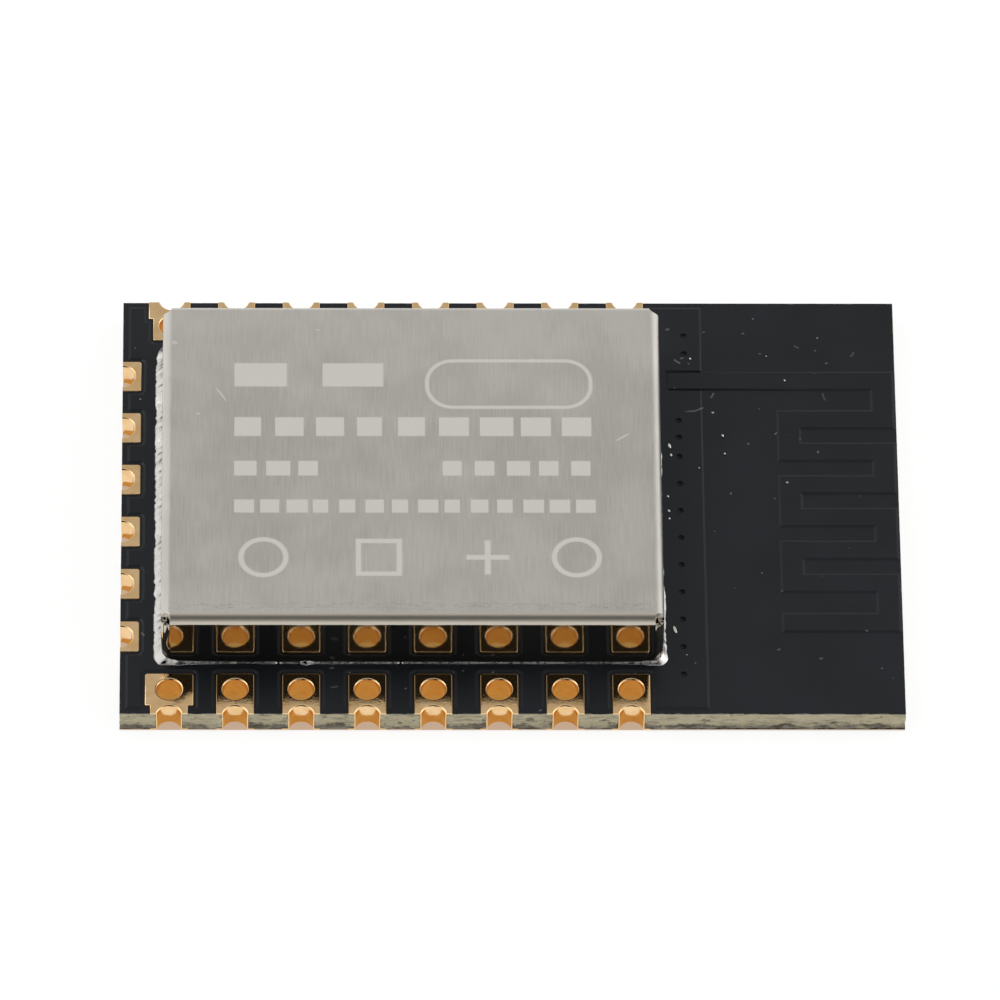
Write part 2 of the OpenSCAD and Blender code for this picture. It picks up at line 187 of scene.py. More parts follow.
class Net:
    """Builds the nodes of one material, world or Geometry Nodes tree."""

    def __init__(self, tree: bpy.types.NodeTree) -> None:
        """Starts with an empty tree."""
        self.tree = tree
        tree.nodes.clear()

    def add(self, kind: str, settings: dict | None = None, inputs: dict | None = None) -> bpy.types.Node:
        """Adds one node.

        Args:
            kind: Blender's node type.
            settings: Properties of the node, which are set first.
            inputs: Socket name or number to a value, a Value or a socket.

        Returns:
            The node.
        """
        made = self.tree.nodes.new(kind)
        for key, value in (settings or {}).items():
            setattr(made, key, value)
        for key, value in (inputs or {}).items():
            socket = made.inputs[key]
            if isinstance(value, Value):
                value = value.socket
            if isinstance(value, bpy.types.NodeSocket):
                self.tree.links.new(value, socket)
            elif isinstance(value, tuple) and len(value) == 3 and socket.type == "RGBA":
                socket.default_value = (*value, 1.0)
            else:
                socket.default_value = value
        return made

    def node(self, kind: str, settings: dict | None = None, inputs: dict | None = None,
             output: int | str = 0) -> Value:
        """Adds one node and returns one of its outputs, as add() takes them."""
        return Value(self, self.add(kind, settings, inputs).outputs[output])

    def place(self) -> tuple[Value, Value, Value, Value]:
        """The object coordinates in millimetres, as three values and as one vector."""
        x, y, z = (part * (1 / MM) for part in self.split("Object"))
        return x, y, z, self.vector(x, y, z)

    def split(self, kind: str) -> tuple[Value, ...]:
        """The three parts of one kind of texture coordinates."""
        whole = self.add("ShaderNodeTexCoord").outputs[kind]
        parts = self.add("ShaderNodeSeparateXYZ", {}, {0: whole})
        return tuple(Value(self, out) for out in parts.outputs)

    def vector(self, x: Value | float, y: Value | float, z: Value | float) -> Value:
        """Three values as one vector."""
        return self.node("ShaderNodeCombineXYZ", {}, {0: x, 1: y, 2: z})

    def noise(self, where: Value, scale: float, detail: float = 3.0, roughness: float = 0.5) -> Value:
        """Fractal noise at a place given in millimetres.

        Args:
            where: Place, as a vector.
            scale: Lumps a millimetre.
            detail: Octaves.
            roughness: Weight of the finer octaves.

        Returns:
            A value about 0.5.
        """
        return self.node("ShaderNodeTexNoise", {"noise_dimensions": "3D"},
                         {"Vector": where, "Scale": scale, "Detail": detail, "Roughness": roughness})

    def specks(self, where: Value, scale: float, size: float, share: float) -> Value:
        """Small round spots scattered at random.

        Args:
            where: Place, as a vector in millimetres.
            scale: Cells a millimetre.
            size: Spot radius as a share of a cell.
            share: Share of the cells with a spot.

        Returns:
            1 on a spot and 0 elsewhere.
        """
        cells = self.add("ShaderNodeTexVoronoi", {"feature": "F1"},
                         {"Vector": where, "Scale": scale, "Randomness": 1.0})
        near = Value(self, cells.outputs["Distance"]).ramp(size, size * 0.6)
        pick = self.node("ShaderNodeSeparateColor", {}, {0: cells.outputs["Color"]})
        return near * pick.ramp(1.0 - share, 1.0 - share + 0.01)

    def mix(self, factor: Value | float, one: Value | Colour, two: Value | Colour) -> Value:
        """A colour between two colours."""
        return self.node("ShaderNodeMix", {"data_type": "RGBA"},
                         {0: factor, 6: one, 7: two}, output=2)

    def bump(self, height: Value, distance_mm: float) -> Value:
        """A normal bumped by a height, of which 1 stands for a distance in millimetres."""
        return self.node("ShaderNodeBump", {},
                         {"Height": height, "Distance": distance_mm * MM, "Strength": 1.0})

    def surface(self, **inputs: "Value | float | Colour") -> None:
        """Adds the Principled shader and the output; a key's underscores stand for spaces."""
        shader = self.add("ShaderNodeBsdfPrincipled", {},
                          {key.replace("_", " "): value for key, value in inputs.items()})
        self.add("ShaderNodeOutputMaterial", {}, {0: shader.outputs[0]})


@dataclass(frozen=True)
class Finish:
    """A finish with its base colour, metalness and roughness."""

    name: str
    colour: Colour
    metallic: float = 0.0
    roughness: float = 0.5

    def paint(self, net: Net) -> None:
        """Fills the material's network; the plain finish has a fine mottle.

        Args:
            net: The network to fill.
        """
        *_, where = net.place()
        mottle = net.noise(where, 6.0, 4.0)
        shade = net.mix(mottle.ramp(0.3, 0.7), toned(self.colour, 0.88), toned(self.colour, 1.1))
        net.surface(Base_Color=shade, Metallic=self.metallic,
                    Roughness=mottle.ramp(0.2, 0.8, self.roughness - 0.06, self.roughness + 0.06),
                    Normal=net.bump(net.noise(where, 25.0, 3.0), 0.004))

    def make(self) -> bpy.types.Material:
        """Makes the finish as a material.

        Returns:
            The new material.
        """
        made = bpy.data.materials.new(self.name)
        made.use_nodes = True
        made.diffuse_color = (*self.colour, 1.0)
        self.paint(Net(made.node_tree))
        return made


@dataclass(frozen=True)
class Stroke:
    """A short mark on an upward face: its middle, its turn, its half length and its weight."""

    x: float
    y: float
    degrees: float
    reach: float
    weight: float

    def local(self, x: Value, y: Value) -> tuple[Value, Value]:
        """A place in millimetres as its distances along and across the stroke."""
        c, s = math.cos(math.radians(self.degrees)), math.sin(math.radians(self.degrees))
        return (x - self.x) * c + (y - self.y) * s, (y - self.y) * c - (x - self.x) * s


@dataclass(frozen=True)
class SolderMask(Finish):
    """Black solder mask with a fine tooth, white dust, a few fibres and a chipped rim.

    A hair's weight is its paleness.
    """

    dust: Colour = (0.42, 0.43, 0.44)
    chip_dark: Colour = (0.20, 0.18, 0.14)
    chip_pale: Colour = (0.52, 0.50, 0.45)
    sheen: float = 0.33
    fibre_wide: float = 0.04
    fibre_bend: float = 0.9
    hairs: tuple[Stroke, ...] = (
        Stroke(5.75, 3.7, 20.0, 0.28, 0.24), Stroke(5.2, 5.6, -40.0, 0.13, 0.3),
        Stroke(6.25, 4.3, 65.0, 0.12, 0.22), Stroke(9.7, 4.25, -75.0, 0.16, 0.12),
        Stroke(-11.2, -4.9, -60.0, 0.1, 0.25), Stroke(-1.7, 6.6, 25.0, 0.14, 0.2),
        Stroke(-5.4, -6.9, 12.0, 0.12, 0.14), Stroke(-9.9, -7.2, 80.0, 0.12, 0.16),
        Stroke(10.6, 5.9, 60.0, 0.12, 0.14), Stroke(8.9, 6.2, -30.0, 0.1, 0.14))

    def fibre(self, hair: Stroke, x: Value, y: Value) -> Value:
        """One short bent fibre that has settled on the mask.

        Args:
            hair: Its place and size.
            x: Place along the board in millimetres.
            y: Place across it.

        Returns:
            How much of the fibre covers the place, from 0.
        """
        u, v = hair.local(x, y)
        aside = abs(v - (u * u * self.fibre_bend - 0.015))
        return aside.ramp(self.fibre_wide, 0.015) * abs(u).ramp(hair.reach, hair.reach * 0.8) * hair.weight

    def paint(self, net: Net) -> None:
        """Fills the material's network.

        Args:
            net: The network to fill.
        """
        x, y, z, where = net.place()
        low, high = node_box("woven_glass_core")
        wobble = net.vector(x + net.noise(where, 9.0) * 0.14, y + net.noise(where, 8.0) * 0.14, z)
        slant = net.vector(x * 0.45 + y * 0.2, y * 0.9 - x * 0.3, z)
        bright = net.specks(wobble, 0.9, 0.045, 0.4)
        grey = net.specks(wobble, 2.3, 0.085, 0.36) * 0.30
        drawn_out = net.specks(slant, 1.9, 0.08, 0.3) * 0.22
        fibres = largest(self.fibre(hair, x, y) for hair in self.hairs)
        dust = bright.at_least(grey.at_least(drawn_out)).at_least(fibres)
        cloud = net.noise(where, 0.45, 3.0)
        shade = net.mix(cloud.ramp(0.3, 0.7), toned(self.colour, 0.85), toned(self.colour, 1.2))
        rim = (x - low.x).at_most(high.x - x).at_most((y - low.y).at_most(high.y - y))
        torn = net.noise(where, 3.2, 5.0, 0.7)
        chip = (rim + (torn - 0.5) * 0.16).ramp(0.012, -0.004)
        shade = net.mix(chip, shade, net.mix(torn.ramp(0.4, 0.6), self.chip_dark, self.chip_pale))
        tooth = net.noise(where, 60.0, 2.0)
        net.surface(Base_Color=net.mix(dust, shade, self.dust),
                    Roughness=(cloud.ramp(0.3, 0.7, self.roughness - 0.04, self.roughness + 0.05)
                               + dust * 0.3),
                    Specular_IOR_Level=self.sheen,
                    Normal=net.bump(tooth * 0.35 + net.noise(where, 2.2, 2.0) * 0.5 + dust, 0.005))


@dataclass(frozen=True)
class GoldPlating(Finish):
    """Thin gold over copper, with faint stains and a fine grain."""

    stain_tint: Colour = (0.93, 0.84, 0.72)

    def paint(self, net: Net) -> None:
        """Fills the material's network.

        Args:
            net: The network to fill.
        """
        *_, where = net.place()
        stain = net.noise(where, 2.4, 5.0, 0.6)
        grain = net.noise(where, 45.0, 3.0, 0.6)
        shade = net.mix(stain.ramp(0.35, 0.7), self.colour, tinted(self.colour, self.stain_tint))
        net.surface(Base_Color=shade, Metallic=1.0,
                    Roughness=(stain * 0.12 + grain * 0.1 + (self.roughness - 0.11)),
                    Normal=net.bump(grain * 0.5 + net.noise(where, 12.0, 2.0), 0.0022))


@dataclass(frozen=True)
class Solder(Finish):
    """Bright tin solder with a slightly frosted, rippled skin."""

    def paint(self, net: Net) -> None:
        """Fills the material's network.

        Args:
            net: The network to fill.
        """
        *_, where = net.place()
        ripple = net.noise(where, 5.0, 4.0, 0.6)
        frost = net.noise(where, 30.0, 2.0)
        net.surface(Base_Color=net.mix(ripple.ramp(0.3, 0.6), toned(self.colour, 0.8), self.colour),
                    Metallic=1.0,
                    Roughness=ripple.ramp(0.3, 0.7, self.roughness - 0.08, self.roughness + 0.14),
                    Normal=net.bump(ripple + frost * 0.15, 0.014))


@dataclass(frozen=True)
class Laminate(Finish):
    """The routed edge of glass-fibre board: yellow resin, white fibre ends, grey burr and painted shade in
    its torn dips.
    """

    underside: float = 0.055
    thickness: float = 0.73
    hollow_shade: Colour = (0.16, 0.14, 0.10)
    fibre_ends: Colour = (0.78, 0.76, 0.68)
    burr_dark: Colour = (0.085, 0.062, 0.045)
    burr_pale: Colour = (0.36, 0.33, 0.28)
    frayed_grey: Colour = (0.62, 0.60, 0.56)

    def paint(self, net: Net) -> None:
        """Fills the material's network.

        Args:
            net: The network to fill.
        """
        x, y, z, _ = net.place()
        drawn = net.noise(net.vector(x * 0.5, y * 0.5, z * 2.4), 3.4, 6.0, 0.65)
        torn = net.noise(net.vector(x * 0.7, y * 0.7, z * 1.3), 2.6, 5.0, 0.7)
        fibre = net.noise(net.vector(x * 0.35, y * 0.35, z * 6.0), 6.0, 3.0, 0.6)
        height = (z - self.underside) / self.thickness
        burr = (height + (torn - 0.5) * 1.9).ramp(0.26, 0.06)
        patch = net.noise(net.vector(x * 1.1, y * 1.1, z * 1.9), 1.7, 4.0, 0.7)
        body = net.mix(drawn.ramp(0.32, 0.55), toned(self.colour, 0.60), toned(self.colour, 1.12))
        # Painted shade: the dips of the torn patches, where the bump sinks, are darkened.
        body = net.mix(patch.ramp(0.40, 0.33) * 0.8, body, self.hollow_shade)
        body = net.mix(height.ramp(0.5, 0.05) * 0.3, body, toned(self.colour, 0.55))
        pale = net.mix(fibre.ramp(0.5, 0.70) * 0.65, body, self.fibre_ends)
        dark = net.mix(torn.ramp(0.3, 0.62), self.burr_dark, self.burr_pale)
        frayed = (height + (torn - 0.5) * 0.5).ramp(0.1, 0.0) * patch.ramp(0.42, 0.55)
        shade = net.mix(frayed * 0.7, net.mix(burr * 0.85, pale, dark), self.frayed_grey)
        net.surface(Base_Color=shade, Roughness=self.roughness,
                    Normal=net.bump(drawn * 0.6 + torn * 0.8 + patch * 0.8 + fibre * 0.3, 0.16))


class Figure(Enum):
    """Plain figures that are etched on the lid."""

    RING = "ring"
    SQUARE = "square"
    CROSS = "cross"


@dataclass(frozen=True)
class BarRow:
    """A row of plain bars: its middle line, half height, pitch, start and end."""

    middle: float
    half: float
    cell: float
    start: float
    end: float


def line(value: Value, middle: float, half: float) -> Value:
    """1 where a value is within half of a middle, with a soft edge."""
    return abs(value - middle).ramp(half + 0.03, half - 0.03)


@dataclass(frozen=True)
class CanMetal(Finish):
    """Nickel-silver sheet: satin and brushed along Y on the lid, bright on its folded walls, with a painted
    warm reflection of the gold pads on its front fold and wall.

    The marks' places are measured from the lid's low corner. A scratch's weight is its half width.
    """

    lid_z: float = 3.04
    fold: float = 0.3
    low: Point = (-10.65, -6.0)
    painted_front_reflection_tint: Colour = (1.0, 0.955, 0.885)
    stain: Colour = (0.26, 0.24, 0.21)
    etch: Colour = (0.74, 0.72, 0.67)
    rows: tuple[BarRow, ...] = (
        BarRow(9.35, 0.45, 2.7, 2.2, 7.5), BarRow(7.35, 0.36, 1.25, 2.2, 13.4),
        BarRow(5.75, 0.28, 0.98, 2.2, 5.1), BarRow(5.75, 0.28, 0.98, 8.55, 13.4),
        BarRow(4.3, 0.25, 0.8, 2.2, 13.35))
    figure_line: float = 2.35
    figures: tuple[tuple[float, Figure], ...] = (
        (3.1, Figure.RING), (6.6, Figure.SQUARE), (9.9, Figure.CROSS), (12.6, Figure.RING))
    frame_middle: Point = (10.6, 9.0)
    frame_half: Point = (1.7, 0.1)
    frame_round: float = 0.8
    bar_least: float = 0.58
    bar_spread: float = 0.24
    scratches: tuple[Stroke, ...] = (
        Stroke(-8.85, 2.6, -58.0, 0.34, 0.045), Stroke(3.4, 0.95, 34.0, 0.27, 0.05),
        Stroke(-10.28, 4.6, 0.0, 0.1, 0.09), Stroke(-9.55, 1.85, 20.0, 0.06, 0.06),
        Stroke(-5.9, 5.1, 0.0, 0.08, 0.04))

    def bars(self, net: Net, row: BarRow, number: int, along: Value, across: Value) -> Value:
        """The bars of one row, each with its own length.

        Args:
            net: The network.
            row: The row's place and sizes.
            number: The row's number, for its random lengths.
            along: Place from the lid's left edge.
            across: Place from its front edge.

        Returns:
            1 on a bar and 0 elsewhere.
        """
        shifted = (along - row.start) / row.cell
        chance = net.node("ShaderNodeTexWhiteNoise", {"noise_dimensions": "2D"},
                          {"Vector": net.vector(shifted.floor(), float(number) + 0.5, 0.0)})
        bar = (shifted.wrap(1.0) - (chance * self.bar_spread + self.bar_least)).ramp(0.015, -0.015)
        within = (along - row.start).ramp(-0.02, 0.02) * (along - row.end).ramp(0.02, -0.02)
        return bar * within * line(across, row.middle, row.half)

    @staticmethod
    def figure(kind: Figure, u: Value, v: Value) -> Value:
        """One plain figure about its own middle.

        Args:
            kind: Which figure.
            u: Place from its middle along X, in millimetres.
            v: Place from its middle along Y.

        Returns:
            1 on the figure and 0 elsewhere.
        """
        if kind is Figure.RING:
            return line((u * u + v * v).power(0.5), 0.68, 0.08)
        if kind is Figure.SQUARE:
            return line(abs(u).at_least(abs(v)), 0.62, 0.08)
        return abs(u).at_most(abs(v)).ramp(0.12, 0.06) * abs(u).at_least(abs(v)).ramp(0.68, 0.62)

    def marks(self, net: Net, x: Value, y: Value) -> Value:
        """Plain etched bars and simple outlines on the lid, with no lettering.

        Args:
            net: The network.
            x: Place along the board in millimetres.
            y: Place across it.

        Returns:
            1 on a mark and 0 elsewhere.
        """
        along, across = x - self.low[0], y - self.low[1]
        rows = [self.bars(net, row, number, along, across) for number, row in enumerate(self.rows)]
        figures = [self.figure(kind, along - middle, across - self.figure_line)
                   for middle, kind in self.figures]
        u = (abs(along - self.frame_middle[0]) - self.frame_half[0]).at_least(0.0)
        v = (abs(across - self.frame_middle[1]) - self.frame_half[1]).at_least(0.0)
        frame_outline = line((u * u + v * v).power(0.5), self.frame_round, 0.06)
        return largest([*rows, *figures, frame_outline])

    @staticmethod
    def scratch(mark: Stroke, x: Value, y: Value) -> Value:
        """One scratch or nick on the lid, pointed at its ends.

        Args:
            mark: Its place and size.
            x: Place along the board in millimetres.
            y: Place across it.

        Returns:
            1 on the scratch and 0 elsewhere.
        """
        u, v = mark.local(x, y)
        taper = (abs(u) / mark.reach).power(2.0) * (mark.weight * 0.6)
        aside = (abs(v) + taper).ramp(mark.weight, mark.weight * 0.5)
        return aside * abs(u).ramp(mark.reach, mark.reach * 0.85)

    def paint(self, net: Net) -> None:
        """Fills the material's network.

        Args:
            net: The network to fill.
        """
        x, y, z, where = net.place()
        lid = z.ramp(self.lid_z - 0.012, self.lid_z - 0.002)
        brushed = net.noise(net.vector(x * 26.0, y * 0.9, z), 1.0, 4.0, 0.6)
        cloud = net.noise(where, 0.5, 3.0)
        drawn = net.noise(net.vector(x * 1.3, y * 14.0, z * 2.0), 1.0, 4.0, 0.7)
        front = self.low[1] + self.fold
        near_front = abs(y - (front + 0.22)).ramp(0.26, 0.04) * lid
        pits = (net.noise(net.vector(x * 0.8, y * 2.0, z), 5.0, 5.0, 0.72).ramp(0.50, 0.68)
                * abs(y - (front + 0.2)).ramp(0.34, 0.04) * lid)
        etched = self.marks(net, x, y) * lid * net.noise(where, 14.0, 3.0, 0.7).ramp(0.22, 0.42, 0.72, 1.0)
        flecks = net.specks(where, 1.3, 0.04, 0.2) * lid
        wear = largest(self.scratch(mark, x, y) for mark in self.scratches)
        paler = y.ramp(1.5, 6.2) * 0.45
        base = net.mix(brushed.ramp(0.3, 0.7) * 0.5 + cloud.ramp(0.3, 0.7) * 0.5 + paler,
                       toned(self.colour, 0.88), toned(self.colour, 1.11))
        # Painted reflection: the front fold and wall take a warm tint that stands in for the gold pads
        # mirrored in them.
        base = net.mix(y.ramp(front + 0.04, front - 0.08), base, tinted(self.colour, self.painted_front_reflection_tint))
        base = net.mix(pits * 0.38 + near_front * drawn.ramp(0.42, 0.7) * 0.22, base, self.stain)
        base = net.mix(etched.at_least(flecks * 0.5).at_least(wear * lid), base, self.etch)
        wall = z.ramp(self.lid_z - self.fold * 0.75, self.lid_z - self.fold * 1.05)
        satin = wall * -0.31 + (self.roughness + 0.2)
        rough = satin + brushed * 0.08 * lid + etched * 0.22 + pits * 0.2 + cloud * 0.04
        normal = net.bump(brushed * lid * 0.7 + pits * -2.0 + net.noise(where, 0.35, 1.0) * 2.0
                          + net.noise(where, 3.0, 3.0) * 0.6, 0.004)
        net.surface(Base_Color=base, Metallic=1.0 - etched * 0.6, Roughness=rough, Normal=normal)


class Finishes(Enum):
    """Every finish on the module."""

    MASK = SolderMask("black_solder_mask", (0.0050, 0.0068, 0.0105), 0.0, 0.42)
    GOLD = GoldPlating("gold_plating", (0.89, 0.63, 0.345), 1.0, 0.085)
    TIN = Solder("tin_solder", (0.74, 0.725, 0.70), 1.0, 0.25)
    LAMINATE = Laminate("glass_fibre_laminate", (0.78, 0.70, 0.47), 0.0, 0.85)
    CAN = CanMetal("nickel_silver", (0.585, 0.565, 0.525), 1.0, 0.17)
    COPPER = Finish("copper_foil", (0.80, 0.42, 0.26), 1.0, 0.3)
    RESIN = Finish("black_resin", (0.02, 0.02, 0.022), 0.0, 0.5)
    CRYSTAL_BASE = Finish("crystal_ceramic", (0.45, 0.40, 0.32), 0.0, 0.6)
    CRYSTAL_LID = Finish("crystal_lid_metal", (0.75, 0.68, 0.5), 1.0, 0.25)
    CAPACITOR = Finish("capacitor_ceramic", (0.50, 0.38, 0.26), 0.0, 0.55)
    INDUCTOR = Finish("inductor_ceramic", (0.65, 0.67, 0.68), 0.0, 0.45)


MATERIALS: dict[Finishes, bpy.types.Material] = {}


def material(finish: Finishes) -> bpy.types.Material:
    """The material of a finish, which is made once.

    Args:
        finish: The finish.

    Returns:
        Its material.
    """
    if finish not in MATERIALS:
        MATERIALS[finish] = finish.value.make()
    return MATERIALS[finish]


# ---------------------------------------------------------------- mesh helpers


def new_piece(name: str, shape: bmesh.types.BMesh, finish: Finishes,
              replaces: Sequence[str] = (), sharp_degrees: float = 40.0) -> bpy.types.Object:
    """Turns a bmesh in millimetres into a finished piece of the module.

    Args:
        name: Name of the piece.
        shape: Its mesh, in millimetres.
        finish: Its finish.
        replaces: Solids that it stands for.
        sharp_degrees: Edges over this angle stay sharp.

    Returns:
        The object, riding on the one body.
    """
    mesh = bpy.data.meshes.new(name)
    bmesh.ops.scale(shape, vec=(MM, MM, MM), verts=shape.verts)
    shape.to_mesh(mesh)
    shape.free()
    return finish_piece(name, mesh, finish, replaces, sharp_degrees)


def finish_piece(name: str, mesh: bpy.types.Mesh, finish: Finishes,
                 replaces: Sequence[str] = (), sharp_degrees: float = 40.0) -> bpy.types.Object:
    """Links a mesh in metres as a finished piece of the module.

    Large flat faces keep their own normals, so a wall beside a round edge still mirrors as a flat one.

    Args:
        name: Name of the piece.
        mesh: Its mesh, in metres.
        finish: Its finish.
        replaces: Solids that it stands for.
        sharp_degrees: Edges over this angle stay sharp; with 0, every face is shaded flat.

    Returns:
        The object, riding on the one body.
    """
    mesh.polygons.foreach_set("use_smooth", [sharp_degrees > 0.0] * len(mesh.polygons))
    mesh.set_sharp_from_angle(angle=math.radians(sharp_degrees))
    mesh.materials.clear()
    mesh.materials.append(material(finish))
    piece = bpy.data.objects.new(name, mesh)
    bpy.context.scene.collection.objects.link(piece)
    if sharp_degrees > 0.0:
        flat = piece.modifiers.new("flat_faces", "WEIGHTED_NORMAL")
        flat.keep_sharp = True
        apply_modifiers(piece)
        mesh = piece.data
        mesh.name = name
    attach(piece, "root")
    if replaces:
        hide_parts(*replaces)
    LOG.info("%s: %d faces", name, len(mesh.polygons))
    return piece


def boolean(target: bpy.types.Object, tool: bpy.types.Object, operation: str) -> None:
    """Cuts or joins one scratch object with another and removes the tool.

    Args:
        target: The object that is changed.
        tool: The object that cuts it or joins it.
        operation: Blender's name of the operation.
    """
    cut = target.modifiers.new("cut", "BOOLEAN")
    cut.operation = operation
    cut.solver = "EXACT"
    cut.object = tool
    apply_modifiers(target)
    bpy.data.objects.remove(tool)


def apply_modifiers(piece: bpy.types.Object) -> None:
    """Turns an object's modifiers into its plain mesh.

    Args:
        piece: The object.
    """
    depsgraph = bpy.context.evaluated_depsgraph_get()
    mesh = bpy.data.meshes.new_from_object(piece.evaluated_get(depsgraph))
    piece.modifiers.clear()
    piece.data = mesh


def scratch(name: str, shape: bmesh.types.BMesh) -> bpy.types.Object:
    """Makes a temporary object from a bmesh, which is freed.

    Args:
        name: Name of the object.
        shape: Its mesh.

    Returns:
        The object, linked to the scene.
    """
    mesh = bpy.data.meshes.new(name)
    shape.to_mesh(mesh)
    shape.free()
    made = bpy.data.objects.new(name, mesh)
    bpy.context.scene.collection.objects.link(made)
    return made


def metre_mesh(made: bpy.types.Object) -> bpy.types.Mesh:
    """Takes the mesh out of a scratch object in millimetres, which is removed.

    Args:
        made: The scratch object.

    Returns:
        Its mesh, in metres.
    """
    mesh = made.data
    bpy.data.objects.remove(made)
    mesh.transform(Matrix.Scale(MM, 4))
    return mesh


def merged_solid(name: str) -> bmesh.types.BMesh:
    """A copy of a solid's loose triangles, joined where they meet.

    Args:
        name: The solid's node.

    Returns:
        The copy, in millimetres.
    """
    shape = bmesh.new()
    shape.from_mesh(frame["nodes"][name].data)
    bmesh.ops.scale(shape, vec=(1 / MM, 1 / MM, 1 / MM), verts=shape.verts)
    bmesh.ops.remove_doubles(shape, verts=shape.verts, dist=1e-4)
    return shape


def band(shape: bmesh.types.BMesh, one: Sequence[bmesh.types.BMVert],
         two: Sequence[bmesh.types.BMVert]) -> None:
    """Joins two closed rings of as many points with a band of faces.

    Args:
        shape: The bmesh that both rings are in.
        one: The first ring.
        two: The second ring.
    """
    for i in range(len(one)):
        j = (i + 1) % len(one)
        shape.faces.new((one[i], two[i], two[j], one[j]))


def lathe(shape: bmesh.types.BMesh, profile: Sequence[Point], centre: Vector, steps: int,
          limits: Callable[[float], tuple[float, float]] | None = None) -> None:
    """Adds a closed ring turned about an upright axis.

    Args:
        shape: The bmesh to add to, in millimetres.
        profile: Points (radius, height) round the ring's section.
        centre: A point on the axis.
        steps: Segments round the axis.
        limits: First and last angle for a radius, for a ring cut off by a plane; None is a full turn.
    """
    full = limits is None
    loops: list[list[bmesh.types.BMVert]] = []
    for step in range(steps if full else steps + 1):
        loop = []
        for radius, height in profile:
            first, last = (0.0, 2 * math.pi) if full else limits(radius)
            angle = first + (last - first) * step / steps
            loop.append(shape.verts.new((centre.x + radius * math.cos(angle),
                                         centre.y + radius * math.sin(angle), height)))
        loops.append(loop)
    pairs = list(zip(loops, loops[1:] + loops[:1])) if full else list(zip(loops, loops[1:]))
    for one, two in pairs:
        band(shape, one, two)
    if not full:
        shape.faces.new(loops[0])
        shape.faces.new(list(reversed(loops[-1])))


def plate(shape: bmesh.types.BMesh, rings: Sequence[tuple[float, Sequence[Point]]],
          holes: Sequence[Sequence[Point]]) -> None:
    """Adds a plate with holes, whose rim may change from one level to the next.

    Args:
        shape: The bmesh to add to, in millimetres.
        rings: Height and counter-clockwise contour of each level, with as many points on every level.
        holes: Hole contours, the same on every level.
    """
    outline = rings[0][1]
    count = len(outline)
    points = [Vector(p) for p in outline]
    edges = [(i, (i + 1) % count) for i in range(count)]
    contours = []
    for hole in holes:
        first = len(points)
        points += [Vector(p) for p in hole]
        edges += [(first + i, first + (i + 1) % len(hole)) for i in range(len(hole))]
        contours.append(list(range(first, first + len(hole))))
    flat, _, faces, source, _, _ = delaunay_2d_cdt(points, edges, [], 1, 1e-7)
    middles = [sum((flat[i] for i in f), Vector((0, 0))) / len(f) for f in faces]
    keep = [f for f, middle in zip(faces, middles) if not any(inside(middle, h) for h in holes)]
    at = {old: new for new, olds in enumerate(source) for old in olds}
    last = {at[i]: Vector(p) for i, p in enumerate(rings[-1][1])}
    top = [shape.verts.new((p.x, p.y, rings[0][0])) for p in flat]
    bottom = [shape.verts.new((*last.get(i, p).xy, rings[-1][0])) for i, p in enumerate(flat)]
    for f in keep:
        shape.faces.new([top[i] for i in f])
        shape.faces.new([bottom[i] for i in reversed(f)])
    for contour in contours:
        ring = [at[i] for i in contour]
        for a, b in zip(ring, ring[1:] + ring[:1]):
            shape.faces.new((top[a], bottom[a], bottom[b], top[b]))
    levels = [[top[at[i]] for i in range(count)]]
    levels += [[shape.verts.new((*p, height)) for p in contour] for height, contour in rings[1:-1]]
    levels.append([bottom[at[i]] for i in range(count)])
    for one, two in zip(levels, levels[1:]):
        band(shape, one, two)
    for v in (*top, *bottom):
        if not v.link_faces:
            shape.verts.remove(v)


def inside(point: Vector, contour: Sequence[Point]) -> bool:
    """Tells whether a flat point is inside a contour.

    Args:
        point: The point.
        contour: The contour's corners.

    Returns:
        True where it is inside.
    """
    hit = False
    for (x0, y0), (x1, y1) in zip(contour, [*contour[1:], contour[0]]):
        if (y0 > point.y) != (y1 > point.y) and point.x < (x1 - x0) * (point.y - y0) / (y1 - y0) + x0:
            hit = not hit
    return hit


def inward(contour: Sequence[Point], i: int) -> Vector:
    """Finds how a corner moves when both its sides move inwards by one.

    Args:
        contour: A counter-clockwise contour.
        i: The corner's number.

    Returns:
        The corner's shift.
    """
    before, here, after = (Vector(contour[j % len(contour)]) for j in (i - 1, i, i + 1))
    one, two = (here - before).normalized(), (after - here).normalized()
    a, b = Vector((-one.y, one.x)), Vector((-two.y, two.x))
    return (a + b) / max(1 + a.dot(b), 0.3)


def arc(centre: Point, radius: float, first: float, last: float, steps: int) -> list[Point]:
    """Finds points on an arc, with both its ends.

    Args:
        centre: Middle of the arc.
        radius: Its radius.
        first: Angle of its first point, in degrees.
        last: Angle of its last point.
        steps: Segments between them.

    Returns:
        The points.
    """
    angles = [math.radians(first + (last - first) * i / steps) for i in range(steps + 1)]
    return [(centre[0] + radius * math.cos(a), centre[1] + radius * math.sin(a)) for a in angles]


def knots(places: Sequence[Point], at: float) -> float:
    """Reads the value at a place on a line through knots.

    Args:
        places: The knots, each a place and its value, in order.
        at: The place.

    Returns:
        The value there.
    """
    if at <= places[0][0]:
        return places[0][1]
    for (x0, y0), (x1, y1) in zip(places, places[1:]):
        if at <= x1:
            return y0 + (y1 - y0) * (at - x0) / (x1 - x0)
    return places[-1][1]


